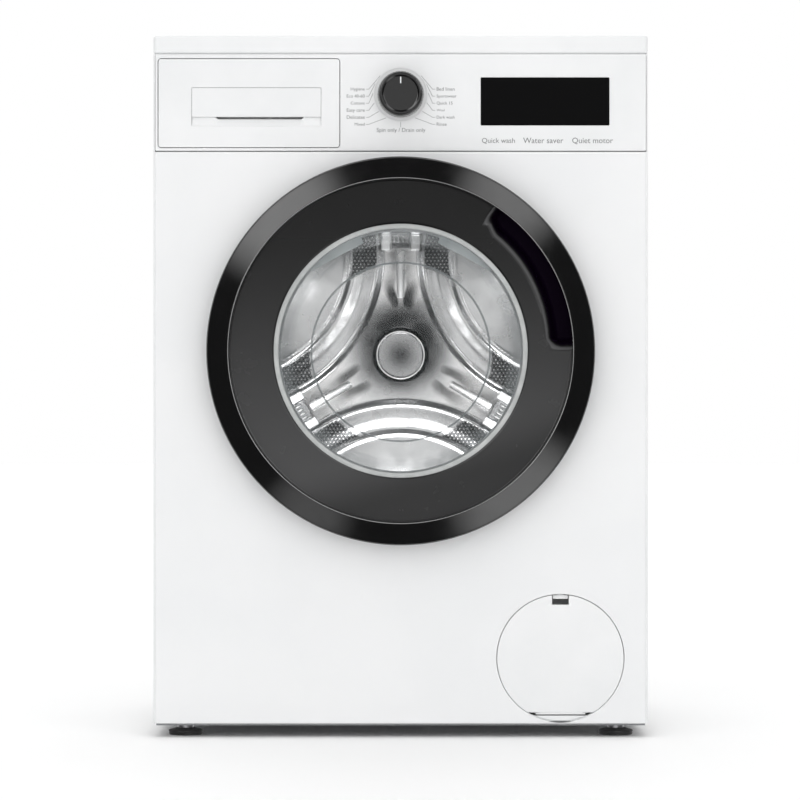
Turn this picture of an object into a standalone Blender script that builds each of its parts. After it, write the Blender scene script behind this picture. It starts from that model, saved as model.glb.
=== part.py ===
"""A front-loading washing machine as an assembly of separate parts.

Metres, +Z up, front towards -Y. The origin is on the floor under the middle of the overall box.
Turned parts are drawn as (radius, y) about the drum axis or about their own axis.
"""

import math

import bmesh
import bpy
from mathutils import Matrix, Vector

# Overall box
WIDTH = 0.598
HEIGHT = 0.848
CASE_DEPTH = 0.550
DOOR_PROUD = 0.042
INLET_PROUD = 0.018
FRONT = (DOOR_PROUD - INLET_PROUD - CASE_DEPTH) / 2
REAR = FRONT + CASE_DEPTH

# Sheet metal, plastics and the space left between neighbours
SHEET = 0.001
PLASTIC = 0.0025
GAP = 0.0005

# Heights and widths on the front
CASE_BOTTOM = 0.0165
SEAM = 0.708
WORKTOP_UNDERSIDE = 0.826
PANEL_HALF = 0.2965
DOOR_Z = 0.4666

# Door
RING_R = 0.234
COVER_R = 0.2065
WINDOW_R = 0.1535
HINGE_X = -0.222
HINGE_Y = FRONT - 0.020
HINGE_NOTCH_X = -0.184
LATCH_X = 0.202
LATCH_Z = DOOR_Z - 0.030

# Drum, tub and drive
DRUM_R = 0.238
DRUM_BACK_Y = 0.158
TUB_R = 0.266
TUB_WALL = 0.0035
SHAFT_R = 0.015
BORE_R = 0.0156
PULLEY_R = 0.1495
MOTOR_X = -0.060
MOTOR_Z = DOOR_Z - math.sqrt((TUB_R + 0.066) ** 2 - MOTOR_X**2)
MOTOR_PULLEY_R = 0.0095
BELT_Y = 0.261
LIFTER_ANGLES = (90, 210, 330)

# Controls, detergent drawer and service flap
KNOB_Z = SEAM + 0.0687
KNOB_R = 0.028
DRAWER_LEFT, DRAWER_RIGHT = -0.2927, -0.0739
DRAWER_BOTTOM, DRAWER_TOP = SEAM + 0.0048, 0.8195
GRIP_LEFT, GRIP_RIGHT = -0.253, -0.0956
DISPLAY_LOW = (0.0969, SEAM + 0.0314)
DISPLAY_HIGH = (0.2520, 0.797)
FLAP_X, FLAP_Z, FLAP_R = 0.193, 0.0966, 0.0765
FLAP_HINGE_Y, FLAP_HINGE_Z = FRONT + 0.0011, 0.0285

# Suspension and feet
SPRING_X, SPRING_Y = 0.262, 0.050
DAMPER_X, DAMPER_Y = 0.200, 0.030
FOOT_X = 0.262
FOOT_YS = {"front": FRONT + 0.045, "rear": REAR - 0.045}

SIDES = 36
FRONT_SIDES = 40
TUB_SIDES = 30
SURFACES = {
    "white_enamel": ((0.90, 0.90, 0.90), 0.30, 0.0),
    "white_plastic": ((0.88, 0.88, 0.88), 0.38, 0.0),
    "grey_plastic": ((0.45, 0.46, 0.48), 0.50, 0.0),
    "black_gloss": ((0.02, 0.02, 0.02), 0.12, 0.0),
    "dark_grey_gloss": ((0.06, 0.06, 0.06), 0.18, 0.0),
    "glass": ((0.85, 0.90, 0.90), 0.03, 0.0),
    "stainless": ((0.62, 0.62, 0.62), 0.28, 1.0),
    "aluminium": ((0.60, 0.61, 0.62), 0.40, 1.0),
    "steel": ((0.50, 0.50, 0.52), 0.35, 1.0),
    "motor_case": ((0.35, 0.36, 0.38), 0.50, 1.0),
    "zinc": ((0.58, 0.60, 0.62), 0.45, 1.0),
    "rubber_grey": ((0.32, 0.33, 0.34), 0.60, 0.0),
    "rubber_black": ((0.03, 0.03, 0.03), 0.70, 0.0),
    "concrete": ((0.48, 0.47, 0.45), 0.90, 0.0),
}


# ------------------------------------------------------------------ tools
def start_scene():
    for obj in list(bpy.data.objects):
        bpy.data.objects.remove(obj)
    for name in ("washing_machine", "cutters"):
        bpy.context.scene.collection.children.link(bpy.data.collections.new(name))


def material(name):
    found = bpy.data.materials.get(name)
    if found:
        return found
    colour, roughness, metallic = SURFACES[name]
    made = bpy.data.materials.new(name)
    made.use_nodes = True
    shader = made.node_tree.nodes["Principled BSDF"]
    shader.inputs["Base Color"].default_value = (*colour, 1.0)
    shader.inputs["Roughness"].default_value = roughness
    shader.inputs["Metallic"].default_value = metallic
    return made


def add_object(name, data, surface):
    """Links an object as a part, or as a hidden cutter when it has no surface."""
    obj = bpy.data.objects.new(name, data)
    bpy.data.collections["washing_machine" if surface else "cutters"].objects.link(obj)
    if surface:
        data.materials.append(material(surface))
    else:
        obj.hide_render = True
        obj.display_type = "WIRE"
    return obj


def mesh_object(name, bm, surface):
    mesh = bpy.data.meshes.new(name)
    bm.to_mesh(mesh)
    bm.free()
    return add_object(name, mesh, surface)


def box(name, low, high, surface=None, rounding=0.0):
    low, high = Vector(low), Vector(high)
    bm = bmesh.new()
    bmesh.ops.create_cube(bm, size=1.0, matrix=Matrix.Diagonal((*(high - low), 1.0)))
    obj = mesh_object(name, bm, surface)
    obj.location = (low + high) / 2
    if rounding:
        bevel(obj, rounding)
    return obj


def bevel(obj, width, segments=2):
    modifier = obj.modifiers.new("rounding", "BEVEL")
    modifier.width = width
    modifier.segments = segments
    modifier.limit_method = "ANGLE"
    modifier.angle_limit = math.radians(40)


def rod(name, start, end, radius, surface=None, sides=24):
    """A straight cylinder between two points."""
    start, end = Vector(start), Vector(end)
    bm = bmesh.new()
    bmesh.ops.create_cone(
        bm, cap_ends=True, segments=sides, radius1=radius, radius2=radius, depth=(end - start).length
    )
    obj = mesh_object(name, bm, surface)
    obj.location = (start + end) / 2
    obj.rotation_mode = "QUATERNION"
    obj.rotation_quaternion = (end - start).to_track_quat("Z", "Y")
    obj.data.shade_smooth()
    obj.data.set_sharp_from_angle(angle=math.radians(35))
    return obj


def turned(name, profile, surface=None, centre=(0.0, 0.0, DOOR_Z), along="Y", sides=SIDES, wall=0.0):
    """A body of revolution from (radius, position) points. With a wall the profile is an open line
    that gets that thickness; without one it is a loop, or a line whose ends lie on the axis."""
    points = list(profile)
    doubled_area = sum(r0 * z1 - r1 * z0 for (r0, z0), (r1, z1) in zip(points, points[1:] + points[:1]))
    if doubled_area > 0:
        points.reverse()
    bm = bmesh.new()
    verts = [bm.verts.new((radius, 0.0, position)) for radius, position in points]
    for one, two in zip(verts, verts[1:]):
        bm.edges.new((one, two))
    on_axis = points[0][0] == 0.0 and points[-1][0] == 0.0
    if not wall and not on_axis:
        bm.edges.new((verts[-1], verts[0]))
    obj = mesh_object(name, bm, surface)
    obj.location = centre
    if along == "Y":
        obj.rotation_euler = (-math.pi / 2, 0.0, 0.0)
    screw = obj.modifiers.new("turn", "SCREW")
    screw.axis = "Z"
    screw.angle = 2 * math.pi
    screw.steps = screw.render_steps = sides
    screw.use_merge_vertices = True
    screw.merge_threshold = 1e-5
    screw.use_smooth_shade = True
    if wall:
        solidify(obj, wall, offset=0.0)
    return obj


def solidify(obj, thickness, offset):
    modifier = obj.modifiers.new("wall", "SOLIDIFY")
    modifier.thickness = thickness
    modifier.offset = offset
    modifier.use_even_offset = True


def sector(name, profile, start, sweep, surface=None, centre=(0.0, 0.0, DOOR_Z), steps=16):
    """Part of a ring about Y: a loop of (radius, y) points swept from start, in degrees up from +X."""
    bm = bmesh.new()
    sections = []
    for step in range(steps + 1):
        angle = math.radians(start + sweep * step / steps)
        sections.append(
            [bm.verts.new((r * math.cos(angle), y, r * math.sin(angle))) for r, y in profile]
        )
    count = len(profile)
    for one, two in zip(sections, sections[1:]):
        for k in range(count):
            n = (k + 1) % count
            bm.faces.new((one[k], one[n], two[n], two[k]))
    bm.faces.new(sections[0])
    bm.faces.new(sections[-1])
    bmesh.ops.recalc_face_normals(bm, faces=bm.faces)
    obj = mesh_object(name, bm, surface)
    obj.location = centre
    return obj


def as_mesh(curve_object, surface):
    """The curve object's shape as a mesh object of the same name, with its caps welded on."""
    bpy.context.view_layer.update()
    graph = bpy.context.evaluated_depsgraph_get()
    mesh = bpy.data.meshes.new_from_object(curve_object.evaluated_get(graph))
    bm = bmesh.new()
    bm.from_mesh(mesh)
    bmesh.ops.remove_doubles(bm, verts=bm.verts, dist=1e-6)
    bm.to_mesh(mesh)
    bm.free()
    name, place = curve_object.name, curve_object.matrix_world.copy()
    bpy.data.objects.remove(curve_object)
    mesh.materials.clear()
    obj = add_object(name, mesh, surface)
    obj.matrix_world = place
    return obj


FACINGS = {
    "Y": (math.pi / 2, 0.0, 0.0),  # outline in (x, z)
    "X": (math.pi / 2, 0.0, math.pi / 2),  # outline in (y, z)
    "Z": (0.0, 0.0, 0.0),  # outline in (x, y)
}


def plate(name, outlines, low, high, surface=None, across="Y"):
    """Flat outlines, the inner ones being holes, given a thickness from low to high across X, Y or Z."""
    curve = bpy.data.curves.new(name, "CURVE")
    curve.dimensions = "2D"
    curve.fill_mode = "BOTH"
    curve.extrude = (high - low) / 2
    for outline in outlines:
        spline = curve.splines.new("POLY")
        spline.points.add(len(outline) - 1)
        for point, (u, v) in zip(spline.points, outline):
            point.co = (u, v, 0.0, 1.0)
        spline.use_cyclic_u = True
    obj = add_object(name, curve, None)
    obj.rotation_euler = FACINGS[across]
    middle = (low + high) / 2
    obj.location = [middle if axis == across else 0.0 for axis in "XYZ"]
    return as_mesh(obj, surface)


def tube(name, points, radius, surface, sides_setting=2):
    """A round solid along points, which are joined by straight stretches."""
    curve = bpy.data.curves.new(name, "CURVE")
    curve.dimensions = "3D"
    curve.bevel_depth = radius
    curve.bevel_resolution = sides_setting
    curve.use_fill_caps = True
    spline = curve.splines.new("POLY")
    spline.points.add(len(points) - 1)
    for point, place in zip(spline.points, points):
        point.co = (*place, 1.0)
    return as_mesh(add_object(name, curve, None), surface)


def combine(obj, operation, others):
    for other in others:
        modifier = obj.modifiers.new(other.name, "BOOLEAN")
        modifier.operation = operation
        modifier.solver = "EXACT"
        modifier.object = other
    return obj


def cut(obj, *cutters):
    return combine(obj, "DIFFERENCE", cutters)


def join(obj, *additions):
    return combine(obj, "UNION", additions)


def circle(radius, centre=(0.0, 0.0), sides=SIDES):
    return [
        (
            centre[0] + radius * math.cos(2 * math.pi * k / sides),
            centre[1] + radius * math.sin(2 * math.pi * k / sides),
        )
        for k in range(sides)
    ]


def rounded_rectangle(low, high, radius, per_corner=4):
    corners = ((high[0], high[1], 0), (low[0], high[1], 90), (low[0], low[1], 180), (high[0], low[1], 270))
    points = []
    for x, y, start in corners:
        inwards = (
            math.copysign(radius, low[0] + high[0] - 2 * x), math.copysign(radius, low[1] + high[1] - 2 * y)
        )
        for k in range(per_corner + 1):
            angle = math.radians(start + 90 * k / per_corner)
            points.append(
                (x + inwards[0] + radius * math.cos(angle), y + inwards[1] + radius * math.sin(angle))
            )
    return points


# ------------------------------------------------------------------ case
def make_cabinet_shell():
    """Both side walls and the back, bent from one sheet, with front flanges behind the front panel."""
    half = (WIDTH - SHEET) / 2
    flange_y = FRONT + SHEET + GAP + SHEET / 2
    front_r, rear_r = 0.003, 0.006
    right_side = [(half - 0.022, flange_y)]
    for k in range(4):
        angle = math.radians(-90 + 30 * k)
        right_side.append(
            (half - front_r + front_r * math.cos(angle), flange_y + front_r + front_r * math.sin(angle))
        )
    for k in range(4):
        angle = math.radians(30 * k)
        right_side.append(
            (half - rear_r + rear_r * math.cos(angle), REAR - SHEET / 2 - rear_r + rear_r * math.sin(angle))
        )
    path = right_side + [(-x, y) for x, y in reversed(right_side)]
    bm = bmesh.new()
    rails = [[bm.verts.new((x, y, z)) for x, y in path] for z in (CASE_BOTTOM, WORKTOP_UNDERSIDE - GAP)]
    for k in range(len(path) - 1):
        bm.faces.new((rails[0][k], rails[0][k + 1], rails[1][k + 1], rails[1][k]))
    shell = mesh_object("cabinet_shell", bm, "white_enamel")
    solidify(shell, SHEET, offset=0.0)
    window = box("rear_window", (-0.18, REAR - 0.02, 0.16), (0.18, REAR + 0.02, 0.68))
    valve_hole = rod("valve_hole", (0.20, REAR - 0.02, 0.79), (0.20, REAR + 0.02, 0.79), 0.0145, sides=16)
    drain_hole = rod("drain_hole", (0.24, REAR - 0.02, 0.10), (0.24, REAR + 0.02, 0.10), 0.0145, sides=16)
    gland_hole = rod("gland_hole", (-0.24, REAR - 0.02, 0.77), (-0.24, REAR + 0.02, 0.77), 0.0105, sides=16)
    flange_relief = box("flange_relief", (-0.297, FRONT - 0.01, SEAM), (0.297, FRONT + 0.0035, HEIGHT))
    cut(shell, window, valve_hole, drain_hole, gland_hole, flange_relief)


def make_front_panel():
    """Pressed sheet with a dish round the door opening, a rolled lip for the gasket and the flap's hole."""
    dish = [(0.229, 0.0), (0.224, 0.008), (0.177, 0.008), (0.1725, 0.0115), (0.1725, 0.022)]
    bm = bmesh.new()

    def loop(points):
        verts = [bm.verts.new((x, FRONT, z)) for x, z in points]
        return [bm.edges.new((one, two)) for one, two in zip(verts, verts[1:] + verts[:1])]

    edges = loop(rounded_rectangle((-PANEL_HALF, CASE_BOTTOM), (PANEL_HALF, SEAM - GAP), 0.002, 2))
    rim = loop(circle(dish[0][0], (0.0, DOOR_Z), FRONT_SIDES))
    edges += rim + loop(circle(FLAP_R + 0.0008, (FLAP_X, FLAP_Z)))
    bmesh.ops.triangle_fill(bm, use_beauty=True, edges=edges, normal=(0.0, -1.0, 0.0))
    for (radius, _), (next_radius, depth) in zip(dish, dish[1:]):
        grown = bmesh.ops.extrude_edge_only(bm, edges=rim)["geom"]
        rim = [e for e in grown if isinstance(e, bmesh.types.BMEdge)]
        for vert in {v for e in rim for v in e.verts}:
            vert.co.x *= next_radius / radius
            vert.co.z = DOOR_Z + (vert.co.z - DOOR_Z) * next_radius / radius
            vert.co.y = FRONT + depth
    bmesh.ops.recalc_face_normals(bm, faces=bm.faces)
    bm.normal_update()
    if max(bm.faces, key=lambda f: f.calc_area()).normal.y > 0:
        bmesh.ops.reverse_faces(bm, faces=bm.faces)
    panel = mesh_object("front_panel", bm, "white_enamel")
    solidify(panel, SHEET, offset=-1.0)
    slot = box(
        "latch_slot",
        (LATCH_X - 0.008, FRONT - 0.01, LATCH_Z - 0.012),
        (LATCH_X + 0.0125, FRONT + 0.02, LATCH_Z + 0.012),
    )
    cut(panel, slot)


def make_base_tray():
    edge = WIDTH / 2 - SHEET - 0.002
    front_y, rear_y = FRONT + 0.012, REAR - 0.003
    tray = box("base_tray", (-edge, front_y, 0.0135), (edge, rear_y, 0.040), "grey_plastic")
    hollow = box(
        "tray_hollow", (-edge + 0.003, front_y + 0.003, CASE_BOTTOM), (edge - 0.003, rear_y - 0.003, 0.05)
    )
    recess_room = box("recess_room", (FLAP_X - 0.088, FRONT, CASE_BOTTOM), (edge - 0.003, FRONT + 0.04, 0.05))
    holes = [
        rod(f"stem_hole_{side}_{place}", (x, y, 0.0), (x, y, 0.03), 0.0058, sides=16)
        for side, x in (("left", -FOOT_X), ("right", FOOT_X))
        for place, y in FOOT_YS.items()
    ]
    cut(tray, hollow, recess_room, *holes)


def make_feet():
    """Rubber-soled levelling feet with their screw stems, wound fully in."""
    profile = [
        (0.0, 0.0), (0.020, 0.0), (0.021, 0.006), (0.012, 0.0085), (0.010, 0.0125), (0.0050, 0.0125),
        (0.0050, 0.034), (0.0, 0.034),
    ]
    for side, x in (("left", -FOOT_X), ("right", FOOT_X)):
        for place, y in FOOT_YS.items():
            turned(f"foot_{place}_{side}", profile, "rubber_black", (x, y, 0.0), "Z", 12)


def make_worktop():
    """Laminated board in a plastic edge, open underneath over the works."""
    top = box(
        "worktop", (-WIDTH / 2, FRONT, WORKTOP_UNDERSIDE), (WIDTH / 2, REAR, HEIGHT), "white_plastic", 0.003
    )
    hollow = box("worktop_hollow", (-0.287, FRONT + 0.012, 0.80), (0.287, REAR - 0.012, HEIGHT - 0.012))
    cut(top, hollow)


def make_rear_cover():
    low, high = (-0.20, 0.14), (0.20, 0.70)
    plate("rear_cover", [rounded_rectangle(low, high, 0.012)], REAR + 0.0003, REAR + 0.0013, "zinc")


# ------------------------------------------------------------------ controls
def make_control_fascia():
    """Moulded front with the drawer's opening, the display's seat and the knob's shaft hole."""
    low_z, high_z = SEAM + GAP, WORKTOP_UNDERSIDE - GAP
    back = FRONT + 0.012
    fascia = box(
        "control_fascia", (-PANEL_HALF, FRONT, low_z), (PANEL_HALF, back, high_z), "white_plastic", 0.001
    )
    hollow = box(
        "fascia_hollow",
        (-PANEL_HALF + PLASTIC, FRONT + PLASTIC, low_z + PLASTIC),
        (PANEL_HALF - PLASTIC, back + 0.01, high_z - PLASTIC),
    )
    drawer_hole = box(
        "drawer_hole", (DRAWER_LEFT - 0.0009, FRONT - 0.01, DRAWER_BOTTOM - 0.0009),
        (DRAWER_RIGHT + 0.0009, back + 0.01, DRAWER_TOP + 0.0009),
    )
    display_hole = box(
        "display_hole", (DISPLAY_LOW[0] - GAP, FRONT - 0.01, DISPLAY_LOW[1] - GAP),
        (DISPLAY_HIGH[0] + GAP, back, DISPLAY_HIGH[1] + GAP),
    )
    shaft_hole = rod("knob_shaft_hole", (0, FRONT - 0.01, KNOB_Z), (0, FRONT + 0.01, KNOB_Z), 0.007)
    cut(fascia, hollow, drawer_hole, display_hole, shaft_hole)


def make_display_window():
    low, high = DISPLAY_LOW, DISPLAY_HIGH
    box("display_window", (low[0], FRONT, low[1]), (high[0], FRONT + 0.0025, high[1]), "black_gloss")


def make_control_module():
    """Case of the circuit board behind the display and the knob."""
    box(
        "control_module", (-0.030, FRONT + 0.017, 0.735), (0.270, FRONT + 0.040, 0.806), "grey_plastic", 0.002
    )


def make_programme_knob():
    shaft_r, shaft_end = 0.0040, FRONT + 0.0160
    seat, face = FRONT - 0.0006, FRONT - 0.019
    profile = [
        (0.0, face), (KNOB_R - 0.003, face), (KNOB_R - 0.0005, face + 0.0025), (KNOB_R, seat),
        (shaft_r, seat), (shaft_r, shaft_end), (0.0, shaft_end),
    ]
    turned("programme_knob", profile, "black_gloss", (0.0, 0.0, KNOB_Z), sides=32)


# ------------------------------------------------------------------ detergent drawer
def make_drawer_front():
    """Face plate with a grip: a slope leads the fingers in and up behind the bar."""
    front = box(
        "drawer_front", (DRAWER_LEFT, FRONT, DRAWER_BOTTOM), (DRAWER_RIGHT, FRONT + 0.003, DRAWER_TOP),
        "white_plastic",
    )
    mouth_low, mouth_high = SEAM + 0.0301, SEAM + 0.0415
    mouth = box("grip_mouth", (GRIP_LEFT, FRONT - 0.01, mouth_low), (GRIP_RIGHT, FRONT + 0.02, mouth_high))
    back, top = 0.0175, SEAM + 0.071
    scoop_outer = [
        (0.002, mouth_low - 0.0025), (0.004, mouth_low - 0.0025), (back, mouth_high - 0.002),
        (back, top), (0.002, top),
    ]
    scoop_inner = [
        (-0.001, mouth_low - 0.0004), (0.0, mouth_low), (back - 0.002, mouth_high),
        (back - 0.002, top - 0.002), (0.003, top - 0.002), (0.003, mouth_high), (-0.001, mouth_high),
    ]
    outer, inner = (
        plate(name, [[(FRONT + y, z) for y, z in outline]], GRIP_LEFT - wall, GRIP_RIGHT + wall, None, "X")
        for name, outline, wall in (("scoop_outer", scoop_outer, 0.002), ("scoop_inner", scoop_inner, 0.0))
    )
    join(front, outer)
    cut(front, mouth, inner)


def make_drawer_tray():
    """Three open compartments: prewash, softener with its siphon, and main wash."""
    low, high = (-0.2835, FRONT + 0.019, 0.745), (-0.0835, FRONT + 0.262, 0.803)
    tray = box("drawer_tray", low, high, "grey_plastic")
    walls = 0.002
    bounds = (low[0], low[0] + 0.078, low[0] + 0.128, high[0])
    wells = [
        box(
            f"well_{k}", (left + walls, low[1] + walls, low[2] + walls),
            (right - walls / 2, high[1] - walls, 0.82),
        )
        for k, (left, right) in enumerate(zip(bounds, bounds[1:]))
    ]
    cut(tray, *wells)


def make_siphon_cap():
    """Softener insert: a lid over the middle compartment with its riser tube."""
    x = -0.2835 + 0.1035
    lid = box(
        "siphon_cap", (x - 0.0225, FRONT + 0.20, 0.792), (x + 0.0225, FRONT + 0.257, 0.796), "dark_grey_gloss"
    )
    join(lid, rod("siphon_tube", (x, FRONT + 0.235, 0.750), (x, FRONT + 0.235, 0.794), 0.008, sides=12))


def make_dispenser_housing():
    low, high = (-0.2875, FRONT + 0.021, 0.7415), (-0.0795, FRONT + 0.272, 0.8125)
    wall = 0.0018
    housing = box("dispenser_housing", low, high, "grey_plastic")
    inside = box("housing_inside", (low[0] + wall, low[1] - 0.01, low[2] + wall), [c - wall for c in high])
    cut(housing, inside)


# ------------------------------------------------------------------ door
def make_door_ring():
    """Outer gloss ring: a skin that slopes up from the case to a crest, with a short inner lip."""
    skin = [
        (RING_R - 0.0012, FRONT - 0.003), (RING_R - 0.0010, FRONT - 0.0245),
        (RING_R - 0.0035, FRONT - 0.0325),
        (0.2245, FRONT - 0.0388), (0.2140, FRONT - 0.0410), (COVER_R + 0.0018, FRONT - 0.0400),
        (COVER_R + 0.0018, FRONT - 0.0345),
    ]
    ring = turned("door_ring", skin, "black_gloss", sides=FRONT_SIDES, wall=0.002)
    cut(ring, hinge_notch("ring_notch", HINGE_Y - 0.0037))


def hinge_notch(name, front_y):
    """The space that the hinge arms sweep through as the door opens."""
    return box(name, (-0.26, front_y, DOOR_Z - 0.045), (HINGE_NOTCH_X, FRONT + 0.03, DOOR_Z + 0.045))


def make_door_cover():
    """Dark disc between the ring and the window, with the handle pocket moulded on behind it."""
    disc = [
        (COVER_R - 0.0010, FRONT - 0.0325), (COVER_R - 0.0010, FRONT - 0.0385), (0.160, FRONT - 0.0345),
        (WINDOW_R + 0.0010, FRONT - 0.0310), (WINDOW_R + 0.0010, FRONT - 0.0230),
    ]
    cover = turned("door_cover", disc, "dark_grey_gloss", sides=FRONT_SIDES, wall=0.002)
    start, sweep, wall_angle = 0.8, 56.0, 0.6
    cup_outer = [
        (0.176, FRONT - 0.0368), (0.176, FRONT - 0.0085), (0.2205, FRONT - 0.0085), (0.2205, FRONT - 0.0285),
        (0.2058, FRONT - 0.0325), (0.2045, FRONT - 0.0368),
    ]
    cup_inner = [
        (0.178, FRONT - 0.060), (0.178, FRONT - 0.0105), (0.2185, FRONT - 0.0105), (0.2185, FRONT - 0.060)
    ]
    join(cover, sector("cup_outer", cup_outer, start - wall_angle, sweep + 2 * wall_angle, steps=8))
    cut(cover, sector("cup_inner", cup_inner, start, sweep, steps=8))


def make_door_glass():
    """Pressed glass bowl with a flange clamped between the cover and the inner frame."""
    inside = [
        (0.0, 0.0865), (0.1040, 0.0840), (0.1200, 0.0720),
        (0.1325, 0.0480), (0.1455, -0.0180), (0.1475, -0.0215)
    ]
    outside = [
        (0.160, -0.0215), (0.160, -0.0165), (0.1520, -0.0165), (0.1500, -0.0140), (0.1375, 0.0500),
        (0.1240, 0.0762), (0.1060, 0.0890), (0.0, 0.0915),
    ]
    turned("door_glass", [(r, FRONT + y) for r, y in inside + outside], "glass", sides=FRONT_SIDES)


def make_door_inner_frame():
    """Back shell of the door that seats in the panel's dish and carries hinge, latch and glass."""
    shell = [
        (0.2295, FRONT - 0.009), (0.2295, FRONT - 0.003), (0.212, FRONT + 0.0035), (0.160, FRONT + 0.0035),
        (WINDOW_R, FRONT - 0.001), (WINDOW_R, FRONT - 0.0157),
    ]
    frame = turned("door_inner_frame", shell, "grey_plastic", sides=FRONT_SIDES, wall=0.002)
    hook_slot = box(
        "hook_slot", (LATCH_X - 0.0065, FRONT - 0.01, LATCH_Z - 0.007), (
            LATCH_X + 0.0095, FRONT + 0.01, LATCH_Z + 0.007
        )
    )
    cut(frame, hinge_notch("frame_notch", HINGE_Y - 0.002), hook_slot)


def make_hinge_bracket():
    """Fixed hinge half: a base in the dish and two goose-neck arms that carry the pin."""
    base_y = FRONT + 0.0075
    far = HINGE_X + 0.032
    arm = [
        (HINGE_X - 0.005, HINGE_Y - 0.0035), (HINGE_X + 0.030, HINGE_Y - 0.0035), (far, HINGE_Y - 0.0015),
        (far, base_y), (far - 0.012, base_y), (far - 0.006, base_y - 0.0035), (far - 0.006, HINGE_Y + 0.0045),
        (HINGE_X - 0.005, HINGE_Y + 0.0045),
    ]
    low, high = (HINGE_X + 0.006, base_y - 0.0020, DOOR_Z - 0.043), (far, base_y, DOOR_Z + 0.043)
    bracket = box("hinge_bracket", low, high, "zinc")
    arms = [
        plate(f"arm_{side}", [arm], DOOR_Z + low_z, DOOR_Z + high_z, None, "Z")
        for side, low_z, high_z in (("lower", -0.038, -0.030), ("upper", 0.030, 0.038))
    ]
    pin = rod(
        "hinge_pin", (HINGE_X, HINGE_Y, DOOR_Z - 0.0405), (HINGE_X, HINGE_Y, DOOR_Z + 0.0405), 0.0025,
        sides=16,
    )
    join(bracket, *arms, pin)


def make_hinge_leaf():
    """Moving hinge half: a barrel on the pin and a strap to the door's inner frame."""
    end = HINGE_X + 0.058
    strap = [
        (HINGE_X - 0.0045, HINGE_Y - 0.004), (end, HINGE_Y - 0.004), (end, FRONT + 0.002),
        (end - 0.016, FRONT + 0.002), (end - 0.016, HINGE_Y + 0.001), (HINGE_X + 0.008, HINGE_Y + 0.001),
        (HINGE_X + 0.003, HINGE_Y + 0.0045), (HINGE_X - 0.0045, HINGE_Y + 0.0045),
    ]
    leaf = plate("hinge_leaf", [strap], DOOR_Z - 0.0285, DOOR_Z + 0.0285, "zinc", "Z")
    cut(
        leaf,
        rod(
            "pin_bore", (HINGE_X, HINGE_Y, DOOR_Z - 0.05), (HINGE_X, HINGE_Y, DOOR_Z + 0.05), 0.0030, sides=16
        ),
    )


def make_latch():
    """Sprung hook on the door and the lock behind the panel that receives it."""
    hook = [
        (-0.0030, -0.0140), (0.0030, -0.0140), (0.0030, 0.0190), (0.0065, 0.0190), (0.0065, 0.0225),
        (0.0015, 0.0275), (-0.0030, 0.0275),
    ]
    outline = [(LATCH_X + x, FRONT + y) for x, y in hook]
    piece = plate("latch_hook", [outline], LATCH_Z - 0.004, LATCH_Z + 0.004, "steel", "Z")
    pivot = rod(
        "hook_pivot", (LATCH_X, FRONT - 0.008, LATCH_Z - 0.011), (LATCH_X, FRONT - 0.008, LATCH_Z + 0.011),
        0.002, sides=12,
    )
    join(piece, pivot)
    lock = box(
        "door_lock", (0.186, FRONT + 0.0098, LATCH_Z - 0.045),
        (0.224, FRONT + 0.0340, LATCH_Z + 0.045), "rubber_black"
    )
    cavity = box(
        "lock_cavity", (LATCH_X - 0.0085, FRONT, LATCH_Z - 0.0125), (
            LATCH_X + 0.0130, FRONT + 0.0320, LATCH_Z + 0.0125
        )
    )
    cut(lock, cavity)


def make_door_gasket():
    """Rubber bellows from the front panel's lip to the tub's collar, with a lip towards the glass."""
    fold = [
        (0.1462, 0.0235), (0.1560, 0.0130), (0.1708, 0.0095), (0.1708, 0.0265), (0.1795, 0.0345),
        (0.1640, 0.0425), (0.1768, 0.0470), (0.1768, 0.0610),
    ]
    turned("door_gasket", [(r, FRONT + y) for r, y in fold], "rubber_grey", sides=TUB_SIDES, wall=0.0018)


# ------------------------------------------------------------------ drum
def star_depth(x, z):
    """How far the drum's back is pressed away from its rim plane at a point: deepest in a three-armed
    star whose flanks are arcs, with a shallower band along each flank."""
    lobe_distance = 0.262
    nearest = min(
        math.hypot(
            x - lobe_distance * math.cos(math.radians(a)), z - lobe_distance * math.sin(math.radians(a))
        )
        for a in (-90, 30, 150)
    )

    def ramp(low, high):
        t = min(1.0, max(0.0, (nearest - low) / (high - low)))
        return t * t * (3 - 2 * t)

    return 0.004 * ramp(0.158, 0.166) + 0.008 * ramp(0.198, 0.208)


def make_drum_back():
    """Pressed disc, flat at its rim, with the star and a raised hub cap."""
    radii = (0.032, 0.036, 0.056, 0.078, 0.102, 0.130, 0.165, 0.205, DRUM_R - 0.0015)
    bm = bmesh.new()

    def vert(radius, k):
        angle = 2 * math.pi * k / SIDES
        x, z = radius * math.cos(angle), radius * math.sin(angle)
        fade = min(1.0, max(0.0, (0.236 - radius) / 0.020))
        depth = star_depth(x, z) * fade if radius > 0.033 else 0.0
        return bm.verts.new((x, DRUM_BACK_Y - SHEET + depth, z))

    centre = bm.verts.new((0.0, DRUM_BACK_Y - SHEET - 0.003, 0.0))
    rings = [[vert(radius, k) for k in range(SIDES)] for radius in radii]
    for k in range(SIDES):
        n = (k + 1) % SIDES
        bm.faces.new((centre, rings[0][n], rings[0][k]))
        for one, two in zip(rings, rings[1:]):
            bm.faces.new((one[k], one[n], two[n], two[k]))
    bmesh.ops.recalc_face_normals(bm, faces=bm.faces)
    back = mesh_object("drum_back", bm, "stainless")
    back.location = (0.0, 0.0, DOOR_Z)
    solidify(back, SHEET, offset=0.0)


def make_drum_shell():
    skin = [
        (DRUM_R - 0.0005, DRUM_BACK_Y + 0.004), (DRUM_R - 0.0005, -0.1700), (0.2300, -0.1805),
        (0.1730, -0.1835),
        (0.1625, -0.1700),
    ]
    turned("drum_shell", skin, "stainless", wall=SHEET)


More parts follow.
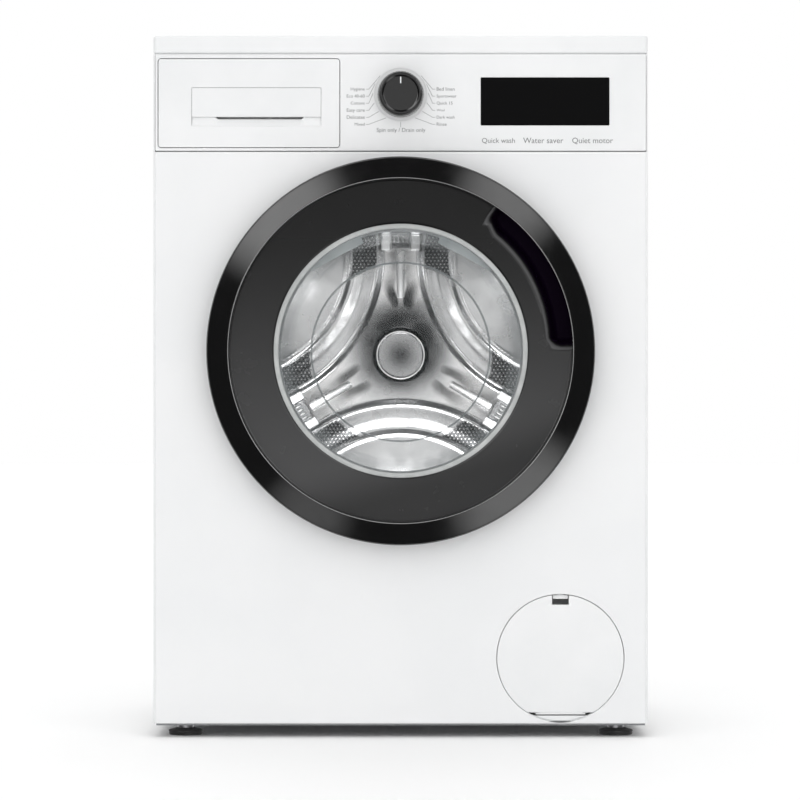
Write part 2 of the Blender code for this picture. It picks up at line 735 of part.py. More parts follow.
def make_lifters():
    """Three paddles, tall at the drum's back and low at its mouth."""
    foot, crest = 0.2340, [(-0.165, 0.2050), (-0.150, 0.1900), (0.146, 0.1360), (0.153, 0.1400)]
    outside = [(-0.165, foot), *crest, (0.153, foot)]
    inside = [
        (-0.1635, 0.2400), (-0.1635, 0.2060), (-0.1495, 0.1918),
        (0.1455, 0.1380), (0.1515, 0.1410), (0.1515, 0.2400)
    ]
    for number, angle in enumerate(LIFTER_ANGLES, 1):
        turn = Matrix.Translation((0.0, 0.0, DOOR_Z)) @ Matrix.Rotation(math.radians(90 - angle), 4, "Y")
        paddle = plate(f"lifter_{number}", [outside], -0.026, 0.026, "stainless", "X")
        hollow = plate(f"lifter_hollow_{number}", [inside], -0.0245, 0.0245, None, "X")
        for piece in (paddle, hollow):
            piece.matrix_world = turn @ piece.matrix_world
        cut(paddle, hollow)


def make_spider():
    """Cast three-armed carrier on the drum's back, with the steel shaft cast into its hub."""
    outline = []
    for arm in LIFTER_ANGLES:
        for offset, radius in (
            (-42, 0.050), (-22, 0.060), (-5.5, 0.222), (5.5, 0.222), (22, 0.060), (42, 0.050)
        ):
            angle = math.radians(arm + offset)
            outline.append((radius * math.cos(angle), radius * math.sin(angle)))
    spider = plate("drum_spider", [outline], 0.1745, 0.1920, "aluminium")
    spider.matrix_world = Matrix.Translation((0.0, 0.0, DOOR_Z)) @ spider.matrix_world
    join(spider, rod("drum_shaft", (0.0, 0.1800, DOOR_Z), (0.0, 0.2740, DOOR_Z), SHAFT_R, sides=24))


def make_drum_pulley():
    rim_front, rim_back = BELT_Y - 0.007, BELT_Y + 0.007
    profile = [
        (BORE_R, rim_front - 0.002), (0.034, rim_front - 0.002), (0.036, BELT_Y - 0.002),
        (0.143, BELT_Y - 0.002),
        (0.143, rim_front), (PULLEY_R, rim_front), (PULLEY_R, rim_back), (0.143, rim_back),
        (0.143, BELT_Y + 0.002),
        (BORE_R, BELT_Y + 0.002),
    ]
    pulley = turned("drum_pulley", profile, "aluminium", sides=TUB_SIDES)
    windows = []
    for k in range(5):
        angle = math.radians(72 * k + 3)
        x, z = 0.089 * math.cos(angle), DOOR_Z + 0.089 * math.sin(angle)
        windows.append(
            rod(f"pulley_window_{k}", (x, BELT_Y - 0.02, z), (x, BELT_Y + 0.02, z), 0.036, sides=10)
        )
    cut(pulley, *windows)


def belt_outline(big, small, dx, dz):
    """The loop round two pulleys, a big one at the origin and a small one at (dx, dz)."""
    distance, heading = math.hypot(dx, dz), math.atan2(dz, dx)
    lean = math.acos((big - small) / distance)
    points = []
    for k in range(33):
        angle = heading + lean + (2 * math.pi - 2 * lean) * k / 32
        points.append((big * math.cos(angle), big * math.sin(angle)))
    for k in range(9):
        angle = heading - lean + 2 * lean * k / 8
        points.append((dx + small * math.cos(angle), dz + small * math.sin(angle)))
    return points


def make_drive_belt():
    thick, slack = 0.0030, 0.0010
    loops = [
        belt_outline(PULLEY_R + slack + grow, MOTOR_PULLEY_R + slack + grow, MOTOR_X, MOTOR_Z - DOOR_Z)
        for grow in (thick, 0.0)
    ]
    belt = plate("drive_belt", loops, BELT_Y - 0.006, BELT_Y + 0.006, "rubber_black")
    belt.matrix_world = Matrix.Translation((0.0, 0.0, DOOR_Z)) @ belt.matrix_world


# ------------------------------------------------------------------ tub
def make_tub_rear():
    inner = TUB_R - TUB_WALL
    profile = [
        (TUB_R + 0.006, -0.0100), (TUB_R + 0.006, -0.0045), (TUB_R, -0.0045), (TUB_R, 0.1980),
        (0.2560, 0.2080),
        (0.0480, 0.2080), (0.0480, 0.2450), (0.0306, 0.2450), (0.0306, 0.2010), (0.0220, 0.2010),
        (0.0220, 0.1965),
        (0.2600, 0.1965), (inner, 0.1940), (inner, -0.0100),
    ]
    tub = turned("tub_rear", profile, "grey_plastic", sides=TUB_SIDES)
    lugs = []
    for side, sign in (("left", -1), ("right", 1)):
        ear = ((sign * 0.205, SPRING_Y - 0.010, 0.600), (sign * (SPRING_X + 0.012), SPRING_Y + 0.010, 0.622))
        lug = ((sign * 0.186, DAMPER_Y - 0.012, 0.2600), (sign * 0.214, DAMPER_Y + 0.012, 0.3160))
        for kind, (one, two) in (("ear", ear), ("damper_lug", lug)):
            low, high = [list(map(pick, one, two)) for pick in (min, max)]
            lugs.append(box(f"{kind}_{side}", low, high))
    outlet = rod("sump_outlet", (0.05, 0.06, 0.190), (0.05, 0.06, 0.2060), 0.016, sides=20)
    inside = turned("tub_inside", [(0.0, -0.02), (inner, -0.02), (inner, 0.1940), (0.0, 0.1940)])
    mount = box("motor_mount", (MOTOR_X - 0.030, 0.110, 0.1995), (MOTOR_X + 0.030, 0.200, 0.2140))
    join(tub, *lugs, outlet, mount)
    cut(tub, inside)


def make_tub_front():
    inner = TUB_R - TUB_WALL
    profile = [
        (TUB_R + 0.006, -0.0105), (TUB_R + 0.006, -0.0160), (TUB_R, -0.0160), (TUB_R, -0.1860),
        (0.2580, -0.1960),
        (0.1740, -0.1960), (0.1740, -0.2140), (0.1705, -0.2140), (0.1705, -0.1920), (0.2580, -0.1920),
        (inner, -0.1850), (inner, -0.0105),
    ]
    tub = turned("tub_front", profile, "grey_plastic", sides=TUB_SIDES)
    heater_hole = box("heater_hole", (-0.031, -0.21, DOOR_Z - 0.2545), (0.031, -0.18, DOOR_Z - 0.2385))
    spigot = rod("fill_spigot", (-0.13, -0.045, 0.695), (-0.13, -0.045, 0.712), 0.015, sides=20)
    inside = turned("tub_front_inside", [(0.0, -0.19), (inner, -0.185), (inner, 0.0), (0.0, 0.0)])
    join(tub, spigot)
    cut(tub, heater_hole, inside)


def make_counterweights():
    """Concrete saddle on top of the tub and a crescent round the lower part of its front."""
    top = box("counterweight_top", (-0.060, -0.100, 0.690), (0.190, 0.120, 0.780), "concrete", 0.006)
    cut(top, rod("tub_body", (0, -0.3, DOOR_Z), (0, 0.3, DOOR_Z), TUB_R + 0.0075, sides=SIDES))
    profile = [(0.196, -0.243), (0.252, -0.243), (0.252, -0.1975), (0.196, -0.1975)]
    ring = sector("counterweight_front", profile, 140, 190, "concrete", steps=18)
    cut(ring, box("heater_room", (-0.036, -0.26, DOOR_Z - 0.27), (0.036, -0.19, DOOR_Z - 0.2345)))


def make_heater():
    """Tubular heater lying in the tub's sump, and the flange that seals it in the tub's front."""
    z = DOOR_Z - 0.2460
    half, front, back = 0.016, -0.1900, 0.120
    bend = [
        (half * math.cos(math.radians(a)), back + half * math.sin(math.radians(a)), z)
        for a in range(0, 181, 20)
    ]
    route = [(half, front - 0.004, z), *bend, (-half, front - 0.004, z)]
    element = tube("heater", route, 0.0035, "steel")
    join(element, box("heater_flange", (-0.0305, -0.2030, z - 0.0080), (0.0305, front, z + 0.0070)))


def make_motor():
    """Motor case hung under the tub, and its shaft with the small grooved pulley."""
    profile = [
        (0.0, 0.0850), (0.050, 0.0850), (0.058, 0.0930), (0.058, 0.2250), (0.050, 0.2330), (0.0080, 0.2330),
        (0.0080, 0.2150), (0.0, 0.2150),
    ]
    turned("motor_housing", profile, "motor_case", (MOTOR_X, 0.0, MOTOR_Z), sides=24)
    profile = [
        (0.0, 0.2160), (0.0060, 0.2160), (0.0060, 0.2500), (MOTOR_PULLEY_R, 0.2510), (MOTOR_PULLEY_R, 0.2710),
        (0.0, 0.2710),
    ]
    turned("motor_shaft", profile, "steel", (MOTOR_X, 0.0, MOTOR_Z), sides=20)


def make_bearings():
    for name, start in (("front_bearing", 0.2015), ("rear_bearing", 0.2290)):
        profile = [(BORE_R, start), (0.0300, start), (0.0300, start + 0.015), (BORE_R, start + 0.015)]
        turned(name, profile, "steel", sides=18)


def make_suspension():
    """Cross rail, two coil springs that hang the tub from it, and two friction dampers below."""
    rail = box(
        "suspension_rail", (-0.2975, SPRING_Y - 0.015, 0.797), (0.2975, SPRING_Y + 0.015, 0.815), "zinc"
    )
    groove = box("rail_groove", (-0.2960, SPRING_Y - 0.0135, 0.7985), (0.2960, SPRING_Y + 0.0135, 0.83))
    cut(rail, groove)
    turns, per_turn, coil_r = 5, 6, 0.0085
    low, high = 0.6240, 0.7950
    tube_profile = [
        (0.0, 0.0170), (0.014, 0.0170), (0.014, 0.170), (0.0078, 0.170), (0.0078, 0.055), (0.0, 0.055),
    ]
    rod_profile = [
        (0.0, 0.085), (0.0062, 0.085), (0.0062, 0.245), (0.011, 0.247), (0.011, 0.2595), (0.0, 0.2595)
    ]
    for side, sign in (("left", -1), ("right", 1)):
        helix = [
            (
                sign * SPRING_X + coil_r * math.cos(2 * math.pi * k / per_turn),
                SPRING_Y + coil_r * math.sin(2 * math.pi * k / per_turn),
                low + (high - low) * k / (turns * per_turn),
            )
            for k in range(turns * per_turn + 1)
        ]
        tube(f"suspension_spring_{side}", helix, 0.0015, "steel", sides_setting=1)
        place = (sign * DAMPER_X, DAMPER_Y, 0.0)
        turned(f"damper_tube_{side}", tube_profile, "grey_plastic", place, "Z", 16)
        turned(f"damper_rod_{side}", rod_profile, "steel", place, "Z", 16)


# ------------------------------------------------------------------ water
def make_inlet_valve():
    """Valve body inside the back, with its threaded hose connection outside."""
    valve = box("inlet_valve", (0.180, 0.232, 0.770), (0.220, REAR - 0.0015, 0.810), "white_plastic")
    join(
        valve,
        rod("valve_spout", (0.20, REAR - 0.01, 0.79), (0.20, REAR + INLET_PROUD, 0.79), 0.013, sides=20),
    )
    bore = rod("valve_bore", (0.20, REAR - 0.004, 0.79), (0.20, REAR + 0.03, 0.79), 0.009, sides=16)
    cut(valve, bore)


def make_hoses():
    turned(
        "fill_hose",
        [
            (0.0, 0.7128), (0.0165, 0.7128), (0.0190, 0.7190), (0.0160, 0.7240), (0.0190, 0.7290),
            (0.0160, 0.7340),
            (0.0180, 0.7405), (0.0, 0.7405),
        ],
        "rubber_black", (-0.13, -0.045, 0.0), "Z", 16,
    )
    sump = [
        (0.050, 0.060, 0.1885), (0.050, 0.060, 0.174), (0.0515, 0.052, 0.160), (0.060, 0.030, 0.150),
        (0.075, -0.005, 0.150), (0.100, -0.050, 0.160), (0.130, -0.095, 0.174), (0.160, -0.130, 0.184),
        (0.178, -0.148, 0.182), (0.189, -0.159, 0.174), (0.193, -0.163, 0.163), (0.193, -0.163, 0.1512),
    ]
    tube("sump_hose", sump, 0.015, "rubber_black", sides_setting=1)
    drain = [
        (0.2368, -0.150, 0.0966), (0.2440, -0.150, 0.0966), (0.2515, -0.147, 0.0968), (0.2565, -0.139, 0.097),
        (0.2580, -0.125, 0.0975), (0.2580, 0.100, 0.100), (0.2570, 0.180, 0.100), (0.2500, 0.222, 0.100),
        (0.2420, 0.248, 0.100), (0.2400, 0.262, 0.100), (0.2400, REAR + 0.015, 0.100),
    ]
    tube("drain_hose", drain, 0.011, "grey_plastic")


def make_mains_gland():
    profile = [
        (0.0, REAR - 0.020), (0.012, REAR - 0.020), (0.012, REAR - 0.002), (0.009, REAR - 0.002),
        (0.009, REAR + 0.001), (0.011, REAR + 0.001), (0.009, REAR + 0.014), (0.0045, REAR + 0.014),
        (0.0045, REAR - 0.01), (0.0, REAR - 0.01),
    ]
    turned("mains_gland", profile, "rubber_black", (-0.24, 0.0, 0.77), sides=14)


# ------------------------------------------------------------------ drain pump and its flap
def make_pump():
    centre = (FLAP_X, 0.0, FLAP_Z)
    profile = [
        (0.037, 0.0405), (0.037, 0.1280), (0.030, 0.1290), (0.030, 0.1800), (0.0, 0.1800), (0.0, 0.1370),
        (0.0040, 0.1370), (0.0040, 0.1240), (0.0230, 0.1240), (0.0230, 0.1000), (0.0335, 0.1000),
        (0.0335, 0.0405),
    ]
    body = turned("pump_housing", [(r, FRONT + y) for r, y in profile], "grey_plastic", centre, sides=24)
    inlet = rod("pump_inlet", (FLAP_X, -0.163, FLAP_Z + 0.035), (FLAP_X, -0.163, 0.150), 0.014, sides=16)
    outlet = rod("pump_outlet", (FLAP_X + 0.035, -0.150, FLAP_Z), (0.2350, -0.150, FLAP_Z), 0.010, sides=16)
    join(body, inlet, outlet)
    hub = turned(
        "pump_impeller",
        [(0.0, FRONT + 0.104), (0.007, FRONT + 0.104), (0.007, FRONT + 0.1215), (0.0030, FRONT + 0.1215),
         (0.0030, FRONT + 0.1350), (0.0, FRONT + 0.1350)],
        "white_plastic", centre, sides=16,
    )
    half, reach = 0.0012, 0.0200
    for number, (dx, dz) in enumerate(((reach, half), (half, reach))):
        join(
            hub,
            box(
                f"vane_{number}", (FLAP_X - dx, FRONT + 0.105, FLAP_Z - dz),
                (FLAP_X + dx, FRONT + 0.119, FLAP_Z + dz),
            ),
        )


def make_filter_cap():
    """Screw-in fluff filter with its grip bar."""
    profile = [
        (0.0, 0.034), (0.0345, 0.034), (0.0345, 0.0398), (0.0320, 0.0398), (0.0320, 0.090), (0.0, 0.090)
    ]
    cap = turned(
        "filter_cap", [(r, FRONT + y) for r, y in profile], "dark_grey_gloss", (FLAP_X, 0.0, FLAP_Z), sides=24
    )
    grip = box(
        "filter_grip", (FLAP_X - 0.027, FRONT + 0.017, FLAP_Z - 0.0045),
        (FLAP_X + 0.027, FRONT + 0.036, FLAP_Z + 0.0045),
    )
    join(cap, grip)


def make_filter_recess():
    """Cup behind the flap, with the catch that holds the flap shut and the fixed sill under its hinge."""
    centre = (FLAP_X, 0.0, FLAP_Z)
    profile = [(0.0783, FRONT + 0.0025), (0.0783, FRONT + 0.0370), (0.0395, FRONT + 0.0370)]
    recess = turned("filter_recess", profile, "white_plastic", centre, wall=0.0015)
    catch = box(
        "flap_catch", (FLAP_X - 0.0090, FRONT + 0.0035, 0.1672), (FLAP_X + 0.0090, FRONT + 0.0080, 0.1715)
    )
    stalk = box(
        "catch_stalk", (FLAP_X - 0.0040, FRONT + 0.0045, 0.1690), (FLAP_X + 0.0040, FRONT + 0.0075, 0.1752)
    )
    sill_profile = [
        (0.0, FRONT), (FLAP_R, FRONT), (FLAP_R, FRONT + 0.0027), (0.0783, FRONT + 0.0027),
        (0.0783, FRONT + 0.0045),
        (0.0, FRONT + 0.0045),
    ]
    sill = turned("flap_sill", sill_profile, None, centre)
    sill_top = FLAP_HINGE_Z - 0.0023
    cut(sill, box("sill_room", (FLAP_X - 0.1, FRONT - 0.01, sill_top), (FLAP_X + 0.1, FRONT + 0.01, 0.2)))
    join(recess, catch, stalk, sill)


def make_pump_flap():
    """Round service door with a finger notch at its top, cut straight at its foot above the hinge rod."""
    back = FRONT + 0.0022
    flap = rod("pump_flap", (FLAP_X, FRONT, FLAP_Z), (FLAP_X, back, FLAP_Z), FLAP_R, "white_plastic", SIDES)
    top = FLAP_Z + FLAP_R
    notch = box(
        "flap_notch", (FLAP_X - 0.0101, FRONT - 0.01, top - 0.012),
        (FLAP_X + 0.0101, FRONT + 0.01, top + 0.01),
    )
    foot_z = FLAP_HINGE_Z + 0.0015
    foot = box("flap_foot", (FLAP_X - 0.06, FRONT - 0.01, 0.0), (FLAP_X + 0.06, FRONT + 0.01, foot_z))
    hinge_rod = rod(
        "flap_rod", (FLAP_X - 0.030, FLAP_HINGE_Y, FLAP_HINGE_Z),
        (FLAP_X + 0.030, FLAP_HINGE_Y, FLAP_HINGE_Z), 0.0010,
        sides=12,
    )
    web = box(
        "flap_web", (FLAP_X - 0.026, FRONT + 0.0005, FLAP_HINGE_Z), (
            FLAP_X + 0.026, FRONT + 0.0017, foot_z + 0.001
        )
    )
    cut(flap, notch, foot)
    join(flap, web, hinge_rod)


# ------------------------------------------------------------------ moving groups
LIFTERS = tuple(f"lifter_{number}" for number in range(1, len(LIFTER_ANGLES) + 1))
PIVOTS = {
    "door_pivot": (
        (HINGE_X, HINGE_Y, DOOR_Z), (
            "door_ring", "door_cover", "door_glass", "door_inner_frame", "hinge_leaf"
        )
    ),
    "latch_pivot": ((LATCH_X, FRONT - 0.008, LATCH_Z), ("latch_hook",)),
    "drum_pivot": (
        (0.0, 0.0, DOOR_Z), ("drum_shell", "drum_back", "drum_spider", "drum_pulley", *LIFTERS)
    ),
    "tub_slide": (
        (0.0, 0.0, DOOR_Z),
        (
            "tub_front", "tub_rear", "counterweight_top", "counterweight_front", "heater", "motor_housing",
            "front_bearing", "rear_bearing", "damper_rod_left", "damper_rod_right", "drive_belt",
        ),
    ),
    "motor_pivot": ((MOTOR_X, 0.0, MOTOR_Z), ("motor_shaft",)),
    "drawer_slide": ((DRAWER_LEFT, FRONT, DRAWER_BOTTOM), ("drawer_front", "drawer_tray", "siphon_cap")),
    "flap_pivot": ((FLAP_X, FLAP_HINGE_Y, FLAP_HINGE_Z), ("pump_flap",)),
    "filter_pivot": ((FLAP_X, 0.0, FLAP_Z), ("filter_cap",)),
    "impeller_pivot": ((FLAP_X, 0.0, FLAP_Z), ("pump_impeller",)),
}


def add_pivots():
    """Empties on the joints' axes, carrying what moves there. Feet and knob have their own origins there."""
    for name, (place, parts) in PIVOTS.items():
        pivot = bpy.data.objects.new(name, None)
        bpy.data.collections["washing_machine"].objects.link(pivot)
        pivot.location = place
        for part in parts:
            moving = bpy.data.objects[part]
            moving.parent = pivot
            moving.matrix_parent_inverse = Matrix.Translation(place).inverted()


def main():
    start_scene()
    make_cabinet_shell()
    make_front_panel()
    make_base_tray()
    make_feet()
    make_worktop()
    make_rear_cover()
    make_control_fascia()
    make_display_window()
    make_control_module()
    make_programme_knob()
    make_drawer_front()
    make_drawer_tray()
    make_siphon_cap()
    make_dispenser_housing()
    make_door_ring()
    make_door_cover()
    make_door_glass()
    make_door_inner_frame()
    make_hinge_bracket()
    make_hinge_leaf()
    make_latch()
    make_door_gasket()
    make_drum_back()
    make_drum_shell()
    make_lifters()
    make_spider()
    make_drum_pulley()
    make_drive_belt()
    make_tub_rear()
    make_tub_front()
    make_counterweights()
    make_heater()
    make_motor()
    make_bearings()
    make_suspension()
    make_inlet_valve()
    make_hoses()
    make_mains_gland()
    make_pump()
    make_filter_cap()
    make_filter_recess()
    make_pump_flap()
    add_pivots()


main()
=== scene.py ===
"""The finished look of a front-loading washing machine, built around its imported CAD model.

Metres, +Z up, front towards -Y. Turned profiles are (radius, y) about the drum's axis unless said.
"""

import math

import bmesh
import bpy
from mathutils import Matrix, Vector


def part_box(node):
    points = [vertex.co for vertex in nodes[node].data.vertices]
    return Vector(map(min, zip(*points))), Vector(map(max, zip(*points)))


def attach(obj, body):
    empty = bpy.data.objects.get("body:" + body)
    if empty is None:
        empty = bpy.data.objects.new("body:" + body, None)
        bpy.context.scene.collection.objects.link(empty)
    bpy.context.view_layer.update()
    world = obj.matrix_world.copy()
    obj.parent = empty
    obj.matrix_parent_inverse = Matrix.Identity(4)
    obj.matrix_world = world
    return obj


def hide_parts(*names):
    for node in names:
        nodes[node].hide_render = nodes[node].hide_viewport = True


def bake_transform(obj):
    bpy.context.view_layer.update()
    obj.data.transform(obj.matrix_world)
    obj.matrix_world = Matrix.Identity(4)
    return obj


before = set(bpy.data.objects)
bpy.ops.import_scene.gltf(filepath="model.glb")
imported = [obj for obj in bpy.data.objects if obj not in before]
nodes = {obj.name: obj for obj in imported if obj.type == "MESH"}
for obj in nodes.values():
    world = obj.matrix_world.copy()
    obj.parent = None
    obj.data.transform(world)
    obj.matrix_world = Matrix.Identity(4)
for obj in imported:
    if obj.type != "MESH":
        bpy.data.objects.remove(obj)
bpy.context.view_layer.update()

# Places taken from the CAD model. F and R are the y of the machine's front and back.
TOP_LOW, TOP_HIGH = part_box("worktop")
F, R = TOP_LOW.y, TOP_HIGH.y
PANEL_LOW, PANEL_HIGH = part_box("front_panel")
FASCIA_LOW, FASCIA_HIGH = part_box("control_fascia")
DRAWER_LOW, DRAWER_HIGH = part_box("drawer_front")
DISPLAY_LOW, DISPLAY_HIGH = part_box("display_window")
KNOB_LOW, KNOB_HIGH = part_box("programme_knob")
FLAP_LOW, FLAP_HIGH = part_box("pump_flap")
CASE_LOW, CASE_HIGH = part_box("cabinet_shell")
COVER_LOW, COVER_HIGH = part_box("rear_cover")
DOOR_Z = sum(c.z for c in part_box("door_ring")) / 2
KNOB_Z = (KNOB_LOW.z + KNOB_HIGH.z) / 2
FLAP_X = (FLAP_LOW.x + FLAP_HIGH.x) / 2
FLAP_R = (FLAP_HIGH.x - FLAP_LOW.x) / 2
FLAP_Z = FLAP_HIGH.z - FLAP_R

# Points in a turn, the angle that stays a sharp edge, and how far a cutting body goes to each side of a sheet
SIDES, SHARP, THROUGH = 160, 32.0, 0.02

# Where details stand: angles in degrees from +X, (x, z) of the drain outlet and of the notch for the hinge
POCKET_START, POCKET_END = 0.8, 56.8
LIFTER_ANGLES, LOBE_ANGLES = (90, 210, 330), (-90, 30, 150)
LOBE_DISTANCE, HUB_R = 0.262, 0.0345
DRAIN_PORT = (0.24, 0.1)
HINGE_NOTCH = [(x, DOOR_Z + side * 0.045) for x, side in ((-0.26, -1), (-0.184, -1), (-0.184, 1), (-0.26, 1))]
WORD_Y, LINE_Y = F - 0.00006, F - 0.00005

# Colour painted on the drum's holes in its dark zones: painted glints of light at the holes
HOLE_GLINTS = (0.5, 0.5, 0.5)

# How bright the studio's tent is to matt surfaces, and its cloth to shiny ones
TENT, CLOTH = 0.94, 0.09

# The camera's place and lens make the front the size it has in the picture
CAMERA_AWAY, CAMERA_X, CAMERA_Z, LENS = 4.8, -0.0008, 0.4075, 178.8


# ---- shapes
def arc_corner(before, corner, after, radius, steps):
    """Points of the arc that rounds a corner of a plane line."""
    into, out = (corner - before).normalized(), (after - corner).normalized()
    turn = into.angle(out, 0.0)
    if radius <= 0.0 or turn < 0.02:
        return [corner]
    reach = min(radius * math.tan(turn / 2), 0.49 * (corner - before).length, 0.49 * (after - corner).length)
    start, end = corner - into * reach, corner + out * reach
    parts = (k / steps for k in range(steps + 1))
    return [start.lerp(corner, t).lerp(corner.lerp(end, t), t) for t in parts]


def rounded(points, steps=5):
    """A plane line of (a, b) or (a, b, radius) points with its corners rounded by their radii."""
    flat = [Vector(point[:2]) for point in points]
    line = [flat[0]]
    for before, corner, after, point in zip(flat, flat[1:], flat[2:], points[1:]):
        line += arc_corner(before, corner, after, point[2] if len(point) > 2 else 0.0, steps)
    return [tuple(point) for point in [*line, flat[-1]]]


def polar(radius, angle, centre=(0.0, 0.0)):
    return (centre[0] + radius * math.cos(angle), centre[1] + radius * math.sin(angle))


def about_door(radius, y, angle):
    x, z = polar(radius, angle, (0.0, DOOR_Z))
    return (x, y, z)


def at_front(line):
    """A profile with its depths counted from the machine's front."""
    return [(radius, F + y) for radius, y in line]


def xz(*corners):
    return [(corner.x, corner.z) for corner in corners]


def middle(name, second="z"):
    """The centre of a CAD node's box, as (x, z) or as (x, y)."""
    low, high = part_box(name)
    return ((low.x + high.x) / 2, (getattr(low, second) + getattr(high, second)) / 2)


def circle(radius, centre=(0.0, 0.0), count=SIDES):
    step = 2 * math.pi / count
    return [polar(radius, k * step, centre) for k in range(count)]


def rounded_rectangle(low, high, radius, inset=0.0):
    """Its outline as points, drawn in by the inset."""
    per_corner = 6
    low, high = [c + inset for c in low], [c - inset for c in high]
    radius = max(radius - inset, 0.0002)
    points = []
    corners = ((high[0], high[1]), (low[0], high[1]), (low[0], low[1]), (high[0], low[1]))
    for (x, z), start in zip(corners, (0, 90, 180, 270)):
        cx = x + math.copysign(radius, low[0] + high[0] - 2 * x)
        cz = z + math.copysign(radius, low[1] + high[1] - 2 * z)
        turns = (math.radians(start + 90 * k / per_corner) for k in range(per_corner + 1))
        points += [polar(radius, turn, (cx, cz)) for turn in turns]
    return points


def roll(radius, depth, steps=4):
    """(inset, depth) steps of an edge that rolls over from a face and runs back to a depth."""
    quarter = [k * math.pi / 2 / steps for k in range(steps + 1)]
    arc = [(radius * (1 - math.sin(a)), radius * (1 - math.cos(a))) for a in quarter]
    return [(radius * 1.4, 0.0), *arc, (0.0, depth)]


def plate(low, high, corner, rolled, y=F):
    """Rings of a rounded rectangle's edge that rolls back from y."""
    return [(rounded_rectangle(low, high, corner, inset), y + depth) for inset, depth in rolled]


def opening(low, high, corner, rolled, gap=0.0):
    """Rings of an opening's edge, with a gap round what stands in it."""
    return [(rounded_rectangle(low, high, corner, -gap - inset), F + depth) for inset, depth in rolled]


def linked(name, data):
    """A new object in the scene."""
    obj = bpy.data.objects.new(name, data)
    bpy.context.scene.collection.objects.link(obj)
    return obj


def finish_mesh(name, bm, look, sharp=SHARP, normals=True):
    if normals:
        bmesh.ops.recalc_face_normals(bm, faces=bm.faces)
    mesh = bpy.data.meshes.new(name)
    bm.to_mesh(mesh)
    bm.free()
    mesh.shade_smooth()
    mesh.set_sharp_from_angle(angle=math.radians(sharp))
    mesh.materials.append(look)
    return linked(name, mesh)


def bridge(bm, one, two, closed=True):
    """Faces between two rows of vertices. A row that is one vertex over and over makes a tip."""
    count = len(one)
    for k in range(count if closed else count - 1):
        n = (k + 1) % count
        if one[k] is one[n]:
            bm.faces.new((one[k], two[n], two[k]))
        elif two[k] is two[n]:
            bm.faces.new((one[k], one[n], two[k]))
        else:
            bm.faces.new((one[k], one[n], two[n], two[k]))


def turned(name, profile, look, centre=(0.0, DOOR_Z), along="Y", count=SIDES, closed=False, sharp=SHARP):
    """A body of revolution. Along Y the centre is (x, z), and along Z it is (x, y)."""
    bm = bmesh.new()

    def place(radius, position, angle):
        a, b = polar(radius, angle, centre)
        return (a, position, b) if along == "Y" else (a, b, position)

    rings = []
    for radius, position in profile:
        turns = [2 * math.pi * k / count for k in range(count)]
        if radius < 1e-6:
            rings.append([bm.verts.new(place(0.0, position, 0.0))] * count)
        else:
            rings.append([bm.verts.new(place(radius, position, turn)) for turn in turns])
    for one, two in zip(rings, rings[1:]):
        bridge(bm, one, two)
    if closed:
        bridge(bm, rings[-1], rings[0])
    return finish_mesh(name, bm, look, sharp)


def pressed_face(name, boundaries, look):
    """A flat face across Y between boundary loops. Each boundary is a list of (outline, y) rings: the face
    ends on its first ring and the others make its edge."""
    bm = bmesh.new()
    edges = []
    for rings in boundaries:
        previous = None
        for outline, depth in rings:
            verts = [bm.verts.new((x, depth, z)) for x, z in outline]
            if previous is None:
                edges += [bm.edges.new((a, b)) for a, b in zip(verts, verts[1:] + verts[:1])]
            else:
                bridge(bm, previous, verts)
            previous = verts
    bmesh.ops.triangle_fill(bm, use_beauty=True, edges=edges, normal=(0.0, -1.0, 0.0))
    return finish_mesh(name, bm, look)


def loft(name, sections, look, closed=True, caps=True, sharp=SHARP):
    """A skin through sections, which are lists of points of equal count."""
    bm = bmesh.new()
    rows = [[bm.verts.new(p) for p in section] for section in sections]
    for one, two in zip(rows, rows[1:]):
        bridge(bm, one, two, closed)
    if caps:
        bm.faces.new(rows[0])
        bm.faces.new(rows[-1])
    return finish_mesh(name, bm, look, sharp)


def tube(name, path, radii, look, count=20):
    """A round skin along a path. Radii is one number or one for each point."""
    path = [Vector(p) for p in path]
    if not hasattr(radii, "__len__"):
        radii = [radii] * len(path)
    side = (path[1] - path[0]).orthogonal().normalized()
    sections = []
    for k, point in enumerate(path):
        ahead = (path[min(k + 1, len(path) - 1)] - path[max(k - 1, 0)]).normalized()
        side = (side - ahead * side.dot(ahead)).normalized()
        across = ahead.cross(side)
        turns = (2 * math.pi * n / count for n in range(count))
        sections.append([point + radii[k] * (math.cos(a) * side + math.sin(a) * across) for a in turns])
    return loft(name, sections, look)


def smooth_path(points, per_span=8):
    """A Catmull-Rom curve through points."""
    points = [Vector(p) for p in points]
    ends = [2 * points[0] - points[1], *points, 2 * points[-1] - points[-2]]
    path = []
    for a, b, c, d in zip(ends, ends[1:], ends[2:], ends[3:]):
        square, cube = 2 * a - 5 * b + 4 * c - d, 3 * b - a - 3 * c + d
        for k in range(per_span):
            t = k / per_span
            path.append(0.5 * (2 * b + (c - a) * t + square * t**2 + cube * t**3))
    return path + [points[-1]]


def smoothstep(low, high, value):
    t = min(1.0, max(0.0, (value - low) / (high - low)))
    return t * t * (3 - 2 * t)


def merged(name, pieces):
    """Joins mesh objects into one."""
    bm = bmesh.new()
    looks = []
    for piece in pieces:
        look = piece.data.materials[0]
        if look not in looks:
            looks.append(look)
        start = len(bm.faces)
        bm.from_mesh(piece.data)
        bm.faces.ensure_lookup_table()
        for face in bm.faces[start:]:
            face.material_index = looks.index(look)
        bpy.data.objects.remove(piece)
    obj = finish_mesh(name, bm, looks[0], normals=False)
    for look in looks[1:]:
        obj.data.materials.append(look)
    return obj


def fit(piece, body, slot, *replaced):
    """Puts a piece on the body it rides on and hides the CAD nodes it stands for. The slot is not used."""
    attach(piece, body)
    if replaced:
        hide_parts(*replaced)


def bend(piece, replaced):
    """Bakes in the place of a piece that lies between the case and the tub, and hides the CAD node it stands
    for.
    """
    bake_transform(piece)
    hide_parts(replaced)


